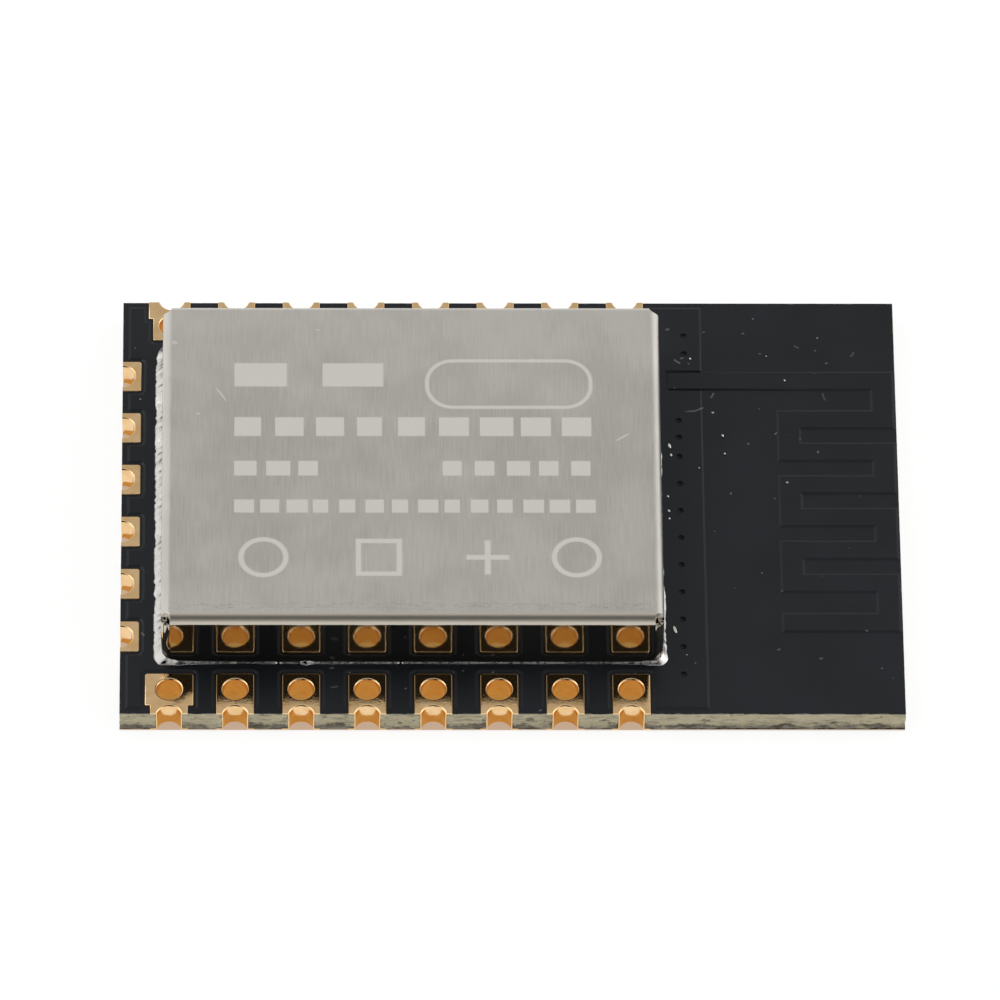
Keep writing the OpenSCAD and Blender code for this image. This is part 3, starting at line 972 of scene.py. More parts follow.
def via_centres() -> list[Vector]:
    """Finds the plated vias from the shells of their solids.

    Returns:
        Their flat centres, in millimetres.
    """
    shape = merged_solid("ground_vias")
    seen: set[bmesh.types.BMVert] = set()
    centres = []
    for start in shape.verts:
        if start in seen:
            continue
        shell, queue = [], [start]
        seen.add(start)
        while queue:
            vert = queue.pop()
            shell.append(vert.co.xy.copy())
            for edge in vert.link_edges:
                other = edge.other_vert(vert)
                if other not in seen:
                    seen.add(other)
                    queue.append(other)
        spans = [(min(p[k] for p in shell), max(p[k] for p in shell)) for k in (0, 1)]
        centres.append(Vector([(a + b) / 2 for a, b in spans]))
    shape.free()
    return centres


# ---------------------------------------------------------------- the module's parts


@dataclass
class ShieldCan:
    """The folded shield can: one thin sheet with four bends, corner reliefs and open seams."""

    sheet: float = 0.18
    fold: float = 0.30
    relief: float = 0.2
    relief_depth: float = 0.40
    relief_steps: int = 40
    seam: float = 0.03
    seam_lap: float = 0.1
    past: float = 0.5
    bend_steps: int = 12
    edge_round: float = 0.028
    edge_steps: int = 3
    edge_degrees: float = 50.0
    low: Vector = field(default_factory=lambda: node_box("shield_can")[0])
    high: Vector = field(default_factory=lambda: node_box("shield_can")[1])

    def block(self, inset: float, radius: float, drop: float) -> bpy.types.Object:
        """A block with round upright corners and round top edges.

        Args:
            inset: How far its sides and top stand in from the can's.
            radius: Radius of its round edges.
            drop: How far it runs below the can's foot.

        Returns:
            A scratch object in millimetres.
        """
        x0, y0 = self.low.x + inset, self.low.y + inset
        x1, y1 = self.high.x - inset, self.high.y - inset
        top = self.high.z - inset
        corners = ((x1 - radius, y1 - radius, 0), (x0 + radius, y1 - radius, 90),
                   (x0 + radius, y0 + radius, 180), (x1 - radius, y0 + radius, 270))
        shape = bmesh.new()
        rings = []
        levels = [(0.0, self.low.z - drop), (0.0, top - radius)]
        levels += [(90.0 * i / self.bend_steps, None) for i in range(1, self.bend_steps + 1)]
        for tilt, height in levels:
            t = math.radians(tilt)
            z = height if height is not None else top - radius + radius * math.sin(t)
            reach = radius * math.cos(t)
            ring = []
            for cx, cy, start in corners:
                points = arc((cx, cy), reach, start, start + 90.0, self.bend_steps)
                ring += [shape.verts.new((*p, z)) for p in points]
            rings.append(ring)
        count = len(rings[0])
        for one, two in zip(rings, rings[1:]):
            for i in range(count):
                j = (i + 1) % count
                shape.faces.new((one[i], one[j], two[j], two[i]))
        bmesh.ops.remove_doubles(shape, verts=shape.verts, dist=1e-6)
        boundary = [e for e in shape.edges if len(e.link_faces) == 1]
        bmesh.ops.holes_fill(shape, edges=boundary, sides=0)
        bmesh.ops.recalc_face_normals(shape, faces=shape.faces)
        return scratch("block", shape)

    def cutter(self, sx: int, sy: int) -> bpy.types.Object:
        """The relief and the open seam of one corner, as one cutting shape.

        Args:
            sx: Side along X, -1 or 1.
            sy: Side along Y, -1 or 1.

        Returns:
            A scratch object in millimetres.
        """
        inset = self.fold * (1 - math.sqrt(0.5))
        corner = Vector((self.high.x - inset if sx > 0 else self.low.x + inset,
                         self.high.y - inset if sy > 0 else self.low.y + inset, 0.0))
        shape = bmesh.new()
        middle = Matrix.Translation((corner.x, corner.y, self.high.z + (self.past - self.relief_depth) / 2))
        bmesh.ops.create_cone(shape, cap_ends=True, segments=self.relief_steps, radius1=self.relief,
                              radius2=self.relief, depth=self.relief_depth + self.past, matrix=middle)
        relief = scratch("relief", shape)
        slit = bmesh.new()
        low_z, high_z = self.low.z - self.past, self.high.z - self.relief_depth + self.seam_lap
        size = Matrix.Diagonal((2 * self.fold, self.seam, high_z - low_z, 1.0))
        turn = Matrix.Rotation(math.radians(45 * sx * sy), 4, "Z")
        middle = Matrix.Translation((corner.x, corner.y, (low_z + high_z) / 2))
        bmesh.ops.create_cube(slit, size=1.0, matrix=middle @ turn @ size)
        boolean(relief, scratch("slit", slit), "UNION")
        return relief

    def build(self) -> bpy.types.Object:
        """Makes the can and puts it in the place of its solid.

        Returns:
            The finished piece.
        """
        can = self.block(0.0, self.fold, 0.0)
        boolean(can, self.block(self.sheet, self.fold - self.sheet, self.past), "DIFFERENCE")
        for sx in (-1, 1):
            for sy in (-1, 1):
                boolean(can, self.cutter(sx, sy), "DIFFERENCE")
        bevel = can.modifiers.new("edge", "BEVEL")
        bevel.width = self.edge_round
        bevel.segments = self.edge_steps
        bevel.limit_method = "ANGLE"
        bevel.angle_limit = math.radians(self.edge_degrees)
        bevel.use_clamp_overlap = True
        apply_modifiers(can)
        return finish_piece("folded_shield_can", metre_mesh(can), Finishes.CAN,
                            ("shield_can",), 32.0)


@dataclass
class MaskRelief:
    """The top mask, with its steps over the copper eased into slopes and round dimples over the vias.

    A slope reaches a set distance from its step, and less where another step faces it close by.
    """

    slope: float = 0.085
    share: float = 0.46
    near: float = 1e-3
    far: float = 10.0
    facing: float = -0.3
    ahead: float = 0.5
    least_turn: float = 0.6
    dimple: float = 0.1
    dimple_radius: float = 0.1
    bowl_lift: float = 0.011

    def room(self, place: Vector, way: Vector, feet: Sequence[tuple[Vector, Vector, Vector]]) -> float:
        """How far it is from the foot of a step to the foot of a step that faces it.

        Args:
            place: A point at a step's foot.
            way: The direction that the step faces there.
            feet: Both ends and the facing direction of every step's foot.

        Returns:
            The distance in millimetres, or a large one where nothing faces it.
        """
        nearest = self.far
        for one, two, facing in feet:
            if facing.dot(way) > self.facing:
                continue
            along = two - one
            share = min(max((place - one).dot(along) / max(along.length_squared, 1e-12), 0.0), 1.0)
            gap = one + along * share - place
            if gap.length > self.near and gap.dot(way) > self.ahead * gap.length:
                nearest = min(nearest, gap.length)
        return nearest

    def bowls(self, top: float) -> bpy.types.Object:
        """Makes one squat ball over each via, to cut its dimple.

        Args:
            top: Height of the mask over the copper.

        Returns:
            A scratch object in millimetres.
        """
        shape = bmesh.new()
        squat = Matrix.Diagonal((self.dimple_radius, self.dimple_radius, self.dimple, 1.0))
        for centre in via_centres():
            place = Matrix.Translation((*centre, top + self.bowl_lift))
            bmesh.ops.create_uvsphere(shape, u_segments=20, v_segments=12, radius=1.0, matrix=place @ squat)
        return scratch("bowls", shape)

    def steps(self, shape: bmesh.types.BMesh, low: float,
              top: float) -> list[tuple[bmesh.types.BMEdge, Vector]]:
        """Finds the feet of the mask's steps.

        Args:
            shape: The mask's mesh.
            low: Height of the mask beside the copper.
            top: Its height over the copper.

        Returns:
            Each foot's edge, and the direction that its step faces.
        """
        found = []
        for edge in shape.edges:
            if len(edge.link_faces) != 2 or any(abs(v.co.z - low) > self.near for v in edge.verts):
                continue
            flat, wall = sorted(edge.link_faces, key=lambda f: -f.normal.z)
            is_step = flat.normal.z > 0.9 and abs(wall.normal.z) < 0.1
            if is_step and max(v.co.z for v in wall.verts) > top - self.near:
                found.append((edge, wall.normal.copy()))
        return found

    def build(self) -> bpy.types.Object:
        """Makes the mask and puts it in the place of its solid.

        Returns:
            The finished piece.
        """
        top = node_box("mask_top")[1].z
        copper = node_box("copper_top")
        shape = merged_solid("mask_top")
        shape.normal_update()
        walls: dict[bmesh.types.BMVert, list[Vector]] = {}
        feet: list[tuple[Vector, Vector, Vector]] = []
        for edge, facing in self.steps(shape, top - (copper[1].z - copper[0].z), top):
            feet.append((edge.verts[0].co.copy(), edge.verts[1].co.copy(), facing))
            for vert in edge.verts:
                walls.setdefault(vert, []).append(facing)
        for vert, normals in walls.items():
            way = sum(normals, Vector()).normalized()
            reach = min(self.slope, self.share * self.room(vert.co.copy(), way, feet))
            vert.co += way * reach / max(min(way.dot(n) for n in normals), self.least_turn)
        bmesh.ops.dissolve_degenerate(shape, edges=shape.edges, dist=self.near)
        bmesh.ops.recalc_face_normals(shape, faces=shape.faces)
        film = scratch("film", shape)
        boolean(film, self.bowls(top), "DIFFERENCE")
        LOG.info("mask relief: %d corners eased", len(walls))
        return finish_piece("eased_top_mask", metre_mesh(film), Finishes.MASK, ("mask_top",), 0.0)


@dataclass
class SolderSeam:
    """The bead of solder round the can's foot, and the mask that laps over the rest of its land.

    The knots give the bead's width against the place along each side, in millimetres.
    """

    fold: float = 0.30
    spacing: float = 0.03
    left: tuple[Point, ...] = ((-6.1, 0.27), (-5.3, 0.24), (5.4, 0.245), (6.1, 0.22))
    right: tuple[Point, ...] = ((-6.1, 0.20), (-5.6, 0.12), (-4.4, 0.09), (-3.7, 0.14), (-3.0, 0.07),
                                (0.9, 0.07), (1.9, 0.10), (2.6, 0.02), (6.1, 0.015))
    front: tuple[Point, ...] = ((-10.8, 0.25), (-10.1, 0.09), (-9.4, 0.055), (-8.0, 0.04), (-7.16, 0.045),
                                (-7.12, 0.0), (-7.06, 0.0), (-7.02, 0.04), (-6.45, 0.045), (-6.25, 0.095),
                                (-6.0, 0.045), (-3.46, 0.045), (-3.42, 0.0), (-3.36, 0.0), (-3.32, 0.045),
                                (2.8, 0.04), (3.9, 0.06), (4.6, 0.20))
    back: tuple[Point, ...] = ((-10.8, 0.15), (-9.8, 0.06), (4.6, 0.05))
    least: float = 0.003
    film: float = 0.003
    corner_steps: int = 12
    profile_steps: int = 8
    sunk: float = 0.012
    tuck: float = 0.05
    lap_under: float = 0.012
    lap_tuck: float = 0.02
    lap_past: float = 0.006
    seed: float = 3.7

    def run(self) -> list[tuple[Vector, Vector]]:
        """Finds the stations round the can's foot.

        Returns:
            Each station's place and outward direction.
        """
        low, high = node_box("shield_can")
        r = self.fold
        corners = ((high.x - r, low.y + r, -90), (high.x - r, high.y - r, 0),
                   (low.x + r, high.y - r, 90), (low.x + r, low.y + r, 180))
        stations = []
        for (cx, cy, start), (nx, ny, _) in zip(corners, corners[1:] + corners[:1]):
            for i in range(self.corner_steps + 1):
                a = math.radians(start + 90 * i / self.corner_steps)
                out = Vector((math.cos(a), math.sin(a), 0))
                stations.append((Vector((cx, cy, 0)) + out * r, out))
            end = math.radians(start + 90)
            out = Vector((round(math.cos(end)), round(math.sin(end)), 0))
            begin, finish = Vector((cx, cy, 0)) + out * r, Vector((nx, ny, 0)) + out * r
            steps = int((finish - begin).length / self.spacing)
            stations += [(begin.lerp(finish, i / steps), out) for i in range(1, steps)]
        return stations

    def width(self, place: Vector, out: Vector) -> float:
        """Finds the width of the bead at a station, before its unevenness.

        Args:
            place: The station.
            out: Its outward direction.

        Returns:
            The width in millimetres.
        """
        side = knots(self.right if out.x > 0 else self.left, place.y)
        end = knots(self.back if out.y > 0 else self.front, place.x)
        share = abs(out.x) / (abs(out.x) + abs(out.y))
        return side * share + end * (1 - share)

    @staticmethod
    def room(place: Vector, out: Vector, low: Vector, high: Vector) -> float:
        """Finds how far it is from a station to the rim of the can's land.

        Args:
            place: The station.
            out: Its outward direction.
            low: Lowest corner of the land.
            high: Its highest corner.

        Returns:
            The distance in millimetres.
        """
        rim = [(high if out[k] > 0 else low)[k] for k in (0, 1)]
        return min((rim[k] - place[k]) / out[k] for k in (0, 1) if abs(out[k]) > 0.01)

    def section(self, place: Vector, out: Vector, width: float, height: float,
                board: float) -> list[tuple[float, float, float]]:
        """Finds the bead's section at a station: a round, concave flank, its foot sunk in the board.

        Args:
            place: The station.
            out: Its outward direction.
            width: Width of the bead.
            height: Its height on the can.
            board: Height of the mask.

        Returns:
            Points round the section.
        """
        points = []
        for i in range(self.profile_steps + 1):
            t = i / self.profile_steps
            z = height * (0.7 * (1 - t) ** 1.8 + 0.3 * math.sqrt(max(1 - t * t, 0)))
            points.append((*(place + out * width * t).xy, board + z))
        foot, heel = place + out * width, place - out * self.tuck
        return [*points, (*foot.xy, board - self.sunk), (*heel.xy, board - self.sunk),
                (*heel.xy, board + height)]

    def lap(self, place: Vector, out: Vector, width: float, room: float,
            board: float) -> list[tuple[float, float, float]]:
        """Finds the section at a station of the mask that laps over the land outside the bead.

        Args:
            place: The station.
            out: Its outward direction.
            width: Width of the bead.
            room: Distance to the rim of the land.
            board: Height of the mask.

        Returns:
            Points round the section.
        """
        inner = place + out * max(width - self.lap_under, -self.lap_tuck)
        outer = place + out * (room + self.lap_past)
        return [(*inner.xy, board + self.film), (*outer.xy, board + self.film * 0.5),
                (*outer.xy, board - self.film), (*inner.xy, board - self.film)]

    def build(self) -> list[bpy.types.Object]:
        """Makes the bead in the place of its solid, and the lap of mask round it.

        Returns:
            Both pieces.
        """
        board = node_box("mask_top")[1].z
        low, high = node_box("shield_land")
        bead, lap = bmesh.new(), bmesh.new()
        bead_rings, lap_rings = [], []
        for place, out in self.run():
            lump = noise.noise(Vector((place.x * 1.5, place.y * 1.5, self.seed)))
            fine = noise.noise(Vector((place.x * 6.0, place.y * 6.0, self.seed + 9)))
            width, room = self.width(place, out), self.room(place, out, low, high)
            w = min(max(width * (1 + 0.24 * lump + 0.2 * fine), self.least), room)
            h = max(width * 0.9 * (1 + 0.5 * lump - 0.3 * fine), self.least)
            bead_rings.append([bead.verts.new(p) for p in self.section(place, out, w, h, board)])
            lap_rings.append([lap.verts.new(p) for p in self.lap(place, out, w, room, board)])
        for shape, rings in ((bead, bead_rings), (lap, lap_rings)):
            for one, two in zip(rings, rings[1:] + rings[:1]):
                band(shape, one, two)
            bmesh.ops.recalc_face_normals(shape, faces=shape.faces)
        return [new_piece("shield_solder_bead", bead, Finishes.TIN, ("shield_solder",), 70.0),
                new_piece("mask_lap", lap, Finishes.MASK)]


class Edge(Enum):
    """Edges of the board that carry terminals: direction inwards from the edge, in degrees."""

    FRONT = 0
    BACK = 180
    LEFT = -90


class PadForm(Enum):
    """Outlines of the pads: plain, square-headed on the first terminal, eared on the back corner's."""

    PLAIN = "plain"
    HEADED = "headed"
    EARED = "eared"


@dataclass
class Terminal:
    """One plated terminal: two pads joined by plated holes with rolled rims."""

    number: int
    edge: Edge
    place: Point
    form: PadForm = PadForm.PLAIN
    pad_width: float = 1.15
    pad_length: float = 1.5
    hole: float = 0.375
    hole_in: float = 0.9
    notch_out: float = 0.1
    rim: float = 0.06
    pad_thickness: float = 0.055
    plating: float = 0.03
    corner: float = 0.08
    corner_steps: int = 6
    head_half: float = 0.735
    neck: float = 0.3
    ear_out: float = 0.14
    ear_top: float = 0.65
    edge_round: float = 0.028
    edge_steps: int = 3
    hole_steps: int = 48
    notch_steps: int = 28
    rim_steps: int = 7
    board: float = 0.84

    def head(self, half: float) -> list[Point]:
        """The far end of a pad with its two round corners, for half its width."""
        c, top, steps = self.corner, self.pad_length, self.corner_steps
        return [*arc((half - c, top - c), c, 0, 90, steps), *arc((c - half, top - c), c, 90, 180, steps)]

    def outline(self) -> tuple[list[Point], int]:
        """Finds the pad's contour in its own place, counter-clockwise from the edge, half hole cut.

        Returns:
            The contour, and how many of its points come before the half hole.
        """
        reach = self.hole + self.rim
        out = 0.0 if self.edge is Edge.LEFT else self.notch_out
        half = self.pad_width / 2
        start = math.degrees(math.asin(min(out / reach, 1.0)))
        notch = arc((0.0, -out), reach, 180 - start, start, self.notch_steps)
        notch[0] = (-math.sqrt(reach * reach - out * out), 0.0)
        notch[-1] = (-notch[0][0], 0.0)
        if self.form is PadForm.HEADED:
            wide, neck = self.head_half, self.neck
            side = [(half, 0.0), (half, neck), (wide, neck), *self.head(wide),
                    (-wide, neck), (-half, neck), (-half, 0.0)]
        elif self.form is PadForm.EARED:
            ear = half + self.ear_out
            side = [(ear, 0.0), (ear, self.ear_top), (half, self.ear_top), *self.head(half), (-half, 0.0)]
        else:
            side = [(half, 0.0), *self.head(half), (-half, 0.0)]
        return [*side, *notch], len(side)

    def rings(self, outer: float, inner: float) -> list[tuple[float, list[Point]]]:
        """Finds the levels of one pad: a round rim on its outer face, a straight cut at the board's edge.

        Args:
            outer: Height of the pad's outer face.
            inner: Height of the face on the laminate.

        Returns:
            Height and contour of each level.
        """
        contour, count = self.outline()
        shifts = [inward(contour, i) if i < count else Vector((0.0, 0.0)) for i in range(len(contour))]
        shifts[0], shifts[count - 1] = Vector((-1.0, 0.0)), Vector((1.0, 0.0))
        turn = 1.0 if outer > inner else -1.0
        levels = []
        for step in range(self.edge_steps + 1):
            angle = math.radians(90.0 * step / self.edge_steps)
            pull, drop = self.edge_round * (1 - math.sin(angle)), self.edge_round * (1 - math.cos(angle))
            moved = [tuple(Vector(p) + shift * pull) for p, shift in zip(contour, shifts)]
            levels.append((outer - turn * drop, moved))
        return [*levels, (inner, contour)]

    def rim_profile(self) -> list[Point]:
        """Finds the section of a plated hole, with a rolled rim at both mouths.

        Returns:
            Points (radius, height) round the section.
        """
        outer = self.hole + self.plating
        wide, deep = self.hole + self.rim, self.pad_thickness
        curve = [(wide - self.rim * math.sin(a), self.board - deep + deep * math.cos(a))
                 for a in (math.radians(90 * i / self.rim_steps) for i in range(self.rim_steps + 1))]
        lower = [(r, self.board - z) for r, z in reversed(curve)]
        return [*curve, *lower, (wide, deep), (outer, deep),
                (outer, self.board - deep), (wide, self.board - deep)]

    def build(self) -> bpy.types.Object:
        """Makes the terminal and puts it in the place of its solid.

        Returns:
            The finished piece.
        """
        shape = bmesh.new()
        on_end = self.edge is Edge.LEFT
        mouth = arc((0.0, self.hole_in), self.hole + self.rim, 360, 0, self.hole_steps)[:-1]
        holes = [] if on_end else [mouth]
        plate(shape, self.rings(self.board, self.board - self.pad_thickness), holes)
        plate(shape, self.rings(0.0, self.pad_thickness), holes)
        profile = self.rim_profile()
        if not on_end:
            lathe(shape, profile, Vector((0.0, self.hole_in, 0.0)), self.hole_steps)
        out = 0.0 if on_end else self.notch_out

        def limits(radius: float) -> tuple[float, float]:
            """First and last angle of the half hole's ring at a radius."""
            start = math.asin(min(out / radius, 1.0))
            return start, math.pi - start

        lathe(shape, profile, Vector((0.0, -out, 0.0)), self.notch_steps, limits)
        bmesh.ops.recalc_face_normals(shape, faces=shape.faces)
        turn = Matrix.Rotation(math.radians(self.edge.value), 4, "Z")
        bmesh.ops.transform(shape, matrix=Matrix.Translation((*self.place, 0.0)) @ turn, verts=shape.verts)
        name = f"terminal_{self.number:02d}"
        return new_piece(f"plated_{name}", shape, Finishes.GOLD, (name,), 45.0)


@dataclass
class TerminalRows:
    """The twenty-two terminals, eight on each long edge and six on the left edge."""

    pitch: float = 2.0
    first: float = 1.5
    long_count: int = 8
    end_count: int = 6
    end_pad: float = 0.58

    def build(self) -> list[bpy.types.Object]:
        """Makes every terminal.

        Returns:
            The finished pieces.
        """
        low, high = node_box("woven_glass_core")
        pieces = []
        for i in range(self.long_count):
            x = low.x + self.first + i * self.pitch
            front_form = PadForm.HEADED if i == 0 else PadForm.PLAIN
            back_form = PadForm.EARED if i == 0 else PadForm.PLAIN
            pieces.append(Terminal(i + 1, Edge.FRONT, (x, low.y), front_form).build())
            pieces.append(Terminal(i + 1 + self.long_count, Edge.BACK, (x, high.y), back_form).build())
        for i in range(self.end_count):
            y = (i - (self.end_count - 1) / 2) * self.pitch
            pieces.append(Terminal(i + 1 + 2 * self.long_count, Edge.LEFT, (low.x, y),
                                   pad_length=self.end_pad).build())
        return pieces


@dataclass
class RoutedCore:
    """The glass-fibre laminate, with the torn edge that routing leaves between the half holes."""

    rows: TerminalRows = field(default_factory=TerminalRows)
    spacing: float = 0.05
    levels: int = 10
    depth: float = 0.075
    hole: float = 0.40
    hole_in: float = Terminal.hole_in
    notch_out: float = Terminal.notch_out
    via: float = 0.141
    hole_steps: int = 32
    notch_steps: int = 14
    via_steps: int = 16
    rim_share: float = 0.45
    seed: float = 5.3

    def outline(self) -> tuple[list[Point], list[bool]]:
        """Finds the contour, counter-clockwise from the left front corner.

        Returns:
            The contour, and whether each of its points is on a routed edge.
        """
        low, high = node_box("woven_glass_core")
        length, width = high.x - low.x, high.y - low.y
        long_row = [self.rows.first + i * self.rows.pitch for i in range(self.rows.long_count)]
        end_row = [width / 2 + (i - (self.rows.end_count - 1) / 2) * self.rows.pitch
                   for i in range(self.rows.end_count)]
        sides = (((low.x, low.y), 0, length, long_row, self.notch_out),
                 ((high.x, low.y), 90, width, [], 0.0),
                 ((high.x, high.y), 180, length, [length - t for t in reversed(long_row)], self.notch_out),
                 ((low.x, high.y), 270, width, end_row, 0.0))
        points, routed = [], []
        for start, degrees, long, notches, out in sides:
            turn = Matrix.Rotation(math.radians(degrees), 2)
            half = math.sqrt(self.hole ** 2 - out ** 2)
            lean = math.degrees(math.asin(out / self.hole))
            place = 0.0
            for stop in [*notches, None]:
                end = long if stop is None else stop - half
                steps = max(int((end - place) / self.spacing), 1)
                flat = [(place + (end - place) * i / steps, 0.0) for i in range(steps + 1)]
                if stop is None:
                    flat, notch = flat[:-1], []
                else:
                    place = stop + half
                    notch = arc((stop, -out), self.hole, 180 - lean, lean, self.notch_steps)[1:-1]
                points += [tuple(Vector(start) + turn @ Vector(p)) for p in (*flat, *notch)]
                routed += [True] * len(flat) + [False] * len(notch)
        return points, routed

    def pull(self, x: float, y: float, z: float, share: float, at_face: bool) -> float:
        """Finds how far the edge is torn in at a place, most of all low on the edge.

        Args:
            x: Place along the board in millimetres.
            y: Place across it.
            z: Height.
            share: Height as a share of the laminate.
            at_face: True on its upper and lower face, where the edge stays nearer the line.

        Returns:
            The distance in millimetres.
        """
        broad = noise.noise(Vector((x * 1.7, y * 1.7, z * 2.4 + self.seed)))
        fine = noise.noise(Vector((x * 6.5, y * 6.5, z * 8.0 + self.seed)))
        torn = smooth((0.45 - share) / 0.35) * smooth((broad + 0.15) / 0.4)
        if at_face:
            return self.depth * self.rim_share * max(0.18 + 0.5 * broad + 0.55 * torn, 0.0)
        return self.depth * max(0.18 + 0.5 * broad + 0.55 * fine + 0.55 * torn, 0.0)

    def build(self) -> bpy.types.Object:
        """Makes the laminate and puts it in the place of its solid.

        Returns:
            The finished piece.
        """
        low, high = node_box("woven_glass_core")
        contour, routed = self.outline()
        shifts = [inward(contour, i) if on else Vector((0.0, 0.0)) for i, on in enumerate(routed)]
        rings = []
        for level in range(self.levels):
            share = 1 - level / (self.levels - 1)
            z = low.z + (high.z - low.z) * share
            moved = []
            for (x, y), shift in zip(contour, shifts):
                pull = self.pull(x, y, z, share, level in (0, self.levels - 1))
                moved.append((x + shift.x * pull, y + shift.y * pull))
            rings.append((z, moved))
        holes = []
        for i in range(self.rows.long_count):
            x = low.x + self.rows.first + i * self.rows.pitch
            holes += [arc((x, y), self.hole, 360, 0, self.hole_steps)[:-1]
                      for y in (low.y + self.hole_in, high.y - self.hole_in)]
        holes += [arc(tuple(centre), self.via, 360, 0, self.via_steps)[:-1] for centre in via_centres()]
        shape = bmesh.new()
        plate(shape, rings, holes)
        bmesh.ops.recalc_face_normals(shape, faces=shape.faces)
        return new_piece("routed_glass_core", shape, Finishes.LAMINATE,
                         ("woven_glass_core",), 50.0)


@dataclass(frozen=True)
class Bead:
    """One bead of solder: its place, its size and how tall it is for its width."""

    x: float
    y: float
    size: float
    tall: float


@dataclass
class SolderBeads:
    """Stray beads of solder on the mask beside the can, placed by Geometry Nodes."""

    radius: float = 0.055
    sunk: float = 0.3
    subdivisions: int = 3
    turn: Point3 = (0.2, 0.2, 0.9)
    least_shape: Point3 = (0.75, 0.9, 0.5)
    most_shape: Point3 = (1.0, 1.15, 0.75)
    seed: int = 11
    beads: tuple[Bead, ...] = (
        Bead(4.91, 2.3, 0.9, 1.7), Bead(4.95, 1.95, 0.7, 1.2), Bead(4.83, 0.35, 0.7, 1.0),
        Bead(4.85, -0.2, 0.6, 1.4), Bead(4.86, -0.5, 0.6, 1.0), Bead(4.96, -4.75, 1.0, 2.6),
        Bead(6.55, 2.7, 0.75, 1.4), Bead(6.6, 2.0, 0.6, 1.0), Bead(5.8, 1.45, 0.55, 1.0),
        Bead(7.95, 5.8, 0.4, 1.0), Bead(8.5, 4.85, 0.55, 1.2), Bead(5.6, 5.7, 0.6, 1.3),
        Bead(-11.6, 4.9, 0.6, 1.0), Bead(-11.35, 4.1, 0.4, 1.0), Bead(-8.44, -5.82, 0.5, 2.4),
        Bead(5.3, -5.7, 0.4, 1.0))

    def tree(self) -> bpy.types.GeometryNodeTree:
        """Makes the node tree that puts one squat bead on every point, each with its own size and turn.

        Returns:
            The tree.
        """
        tree = bpy.data.node_groups.new("solder_bead_scatter", "GeometryNodeTree")
        for name, way, kind in (("Geometry", "INPUT", "Geometry"), ("Bead Radius", "INPUT", "Float"),
                                ("Seed", "INPUT", "Int"), ("Finish", "INPUT", "Material"),
                                ("Geometry", "OUTPUT", "Geometry")):
            tree.interface.new_socket(name, in_out=way, socket_type=f"NodeSocket{kind}")
        net = Net(tree)
        given = net.add("NodeGroupInput").outputs
        ball = net.add("GeometryNodeMeshIcoSphere", {},
                       {"Subdivisions": self.subdivisions, "Radius": given["Bead Radius"]})
        grow = net.add("GeometryNodeInputNamedAttribute", {"data_type": "FLOAT_VECTOR"},
                       {"Name": "bead_scale"})
        turn = net.add("FunctionNodeRandomValue", {"data_type": "FLOAT_VECTOR"},
                       {0: (0.0, 0.0, 0.0), 1: self.turn, "Seed": given["Seed"]})
        squash = net.add("FunctionNodeRandomValue", {"data_type": "FLOAT_VECTOR"},
                         {0: self.least_shape, 1: self.most_shape, "Seed": given["Seed"]})
        scale = net.add("ShaderNodeVectorMath", {"operation": "MULTIPLY"},
                        {0: squash.outputs["Value"], 1: grow.outputs["Attribute"]})
        put = net.add("GeometryNodeInstanceOnPoints", {},
                      {"Points": given["Geometry"], "Instance": ball.outputs["Mesh"],
                       "Rotation": turn.outputs["Value"], "Scale": scale.outputs["Vector"]})
        real = net.add("GeometryNodeRealizeInstances", {}, {"Geometry": put.outputs["Instances"]})
        dress = net.add("GeometryNodeSetMaterial", {},
                        {"Geometry": real.outputs["Geometry"], "Material": given["Finish"]})
        net.add("NodeGroupOutput", {}, {"Geometry": dress.outputs["Geometry"]})
        return tree

    def build(self) -> bpy.types.Object:
        """Makes the beads as one piece.

        Returns:
            The finished piece.
        """
        top = node_box("mask_top")[1].z
        mesh = bpy.data.meshes.new("bead_places")
        places = [(b.x * MM, b.y * MM, (top + self.radius * b.size * self.sunk) * MM) for b in self.beads]
        mesh.from_pydata(places, [], [])
        sizes = mesh.attributes.new("bead_scale", "FLOAT_VECTOR", "POINT")
        sizes.data.foreach_set("vector", [v for b in self.beads for v in (b.size, b.size * b.tall, b.size)])
        holder = bpy.data.objects.new("bead_places", mesh)
        bpy.context.scene.collection.objects.link(holder)
        scatter = holder.modifiers.new("beads", "NODES")
        scatter.node_group = self.tree()
        keys = {item.name: item.identifier for item in scatter.node_group.interface.items_tree
                if item.in_out == "INPUT"}
        scatter[keys["Bead Radius"]] = self.radius * MM
        scatter[keys["Seed"]] = self.seed
        scatter[keys["Finish"]] = material(Finishes.TIN)
        apply_modifiers(holder)
        result = holder.data
        bpy.data.objects.remove(holder)
        return finish_piece("stray_solder_beads", result, Finishes.TIN, (), 60.0)


@dataclass
class SolidFinishes:
    """Procedural materials for the solids that are shown as they are."""

    by_slot: dict[str, Finishes] = field(default_factory=lambda: {
        "laminate": Finishes.LAMINATE, "copper": Finishes.COPPER, "mask": Finishes.MASK,
        "gold_plating": Finishes.GOLD, "tin": Finishes.TIN, "can_metal": Finishes.CAN,
        "black_resin": Finishes.RESIN, "crystal_ceramic": Finishes.CRYSTAL_BASE,
        "crystal_metal": Finishes.CRYSTAL_LID, "capacitor_ceramic": Finishes.CAPACITOR,
        "inductor_ceramic": Finishes.INDUCTOR})

    def dress(self) -> None:
        """Gives every solid the material of its slot."""
        slots = {part["node"]: part["material_slot"] for part in frame["record"]["subparts"]}
        for name, solid in frame["nodes"].items():
            finish = self.by_slot[slots[name]]
            solid.data.materials.clear()
            solid.data.materials.append(material(finish))
            LOG.info("%s: %s", name, finish.value.name)


# ---------------------------------------------------------------- studio


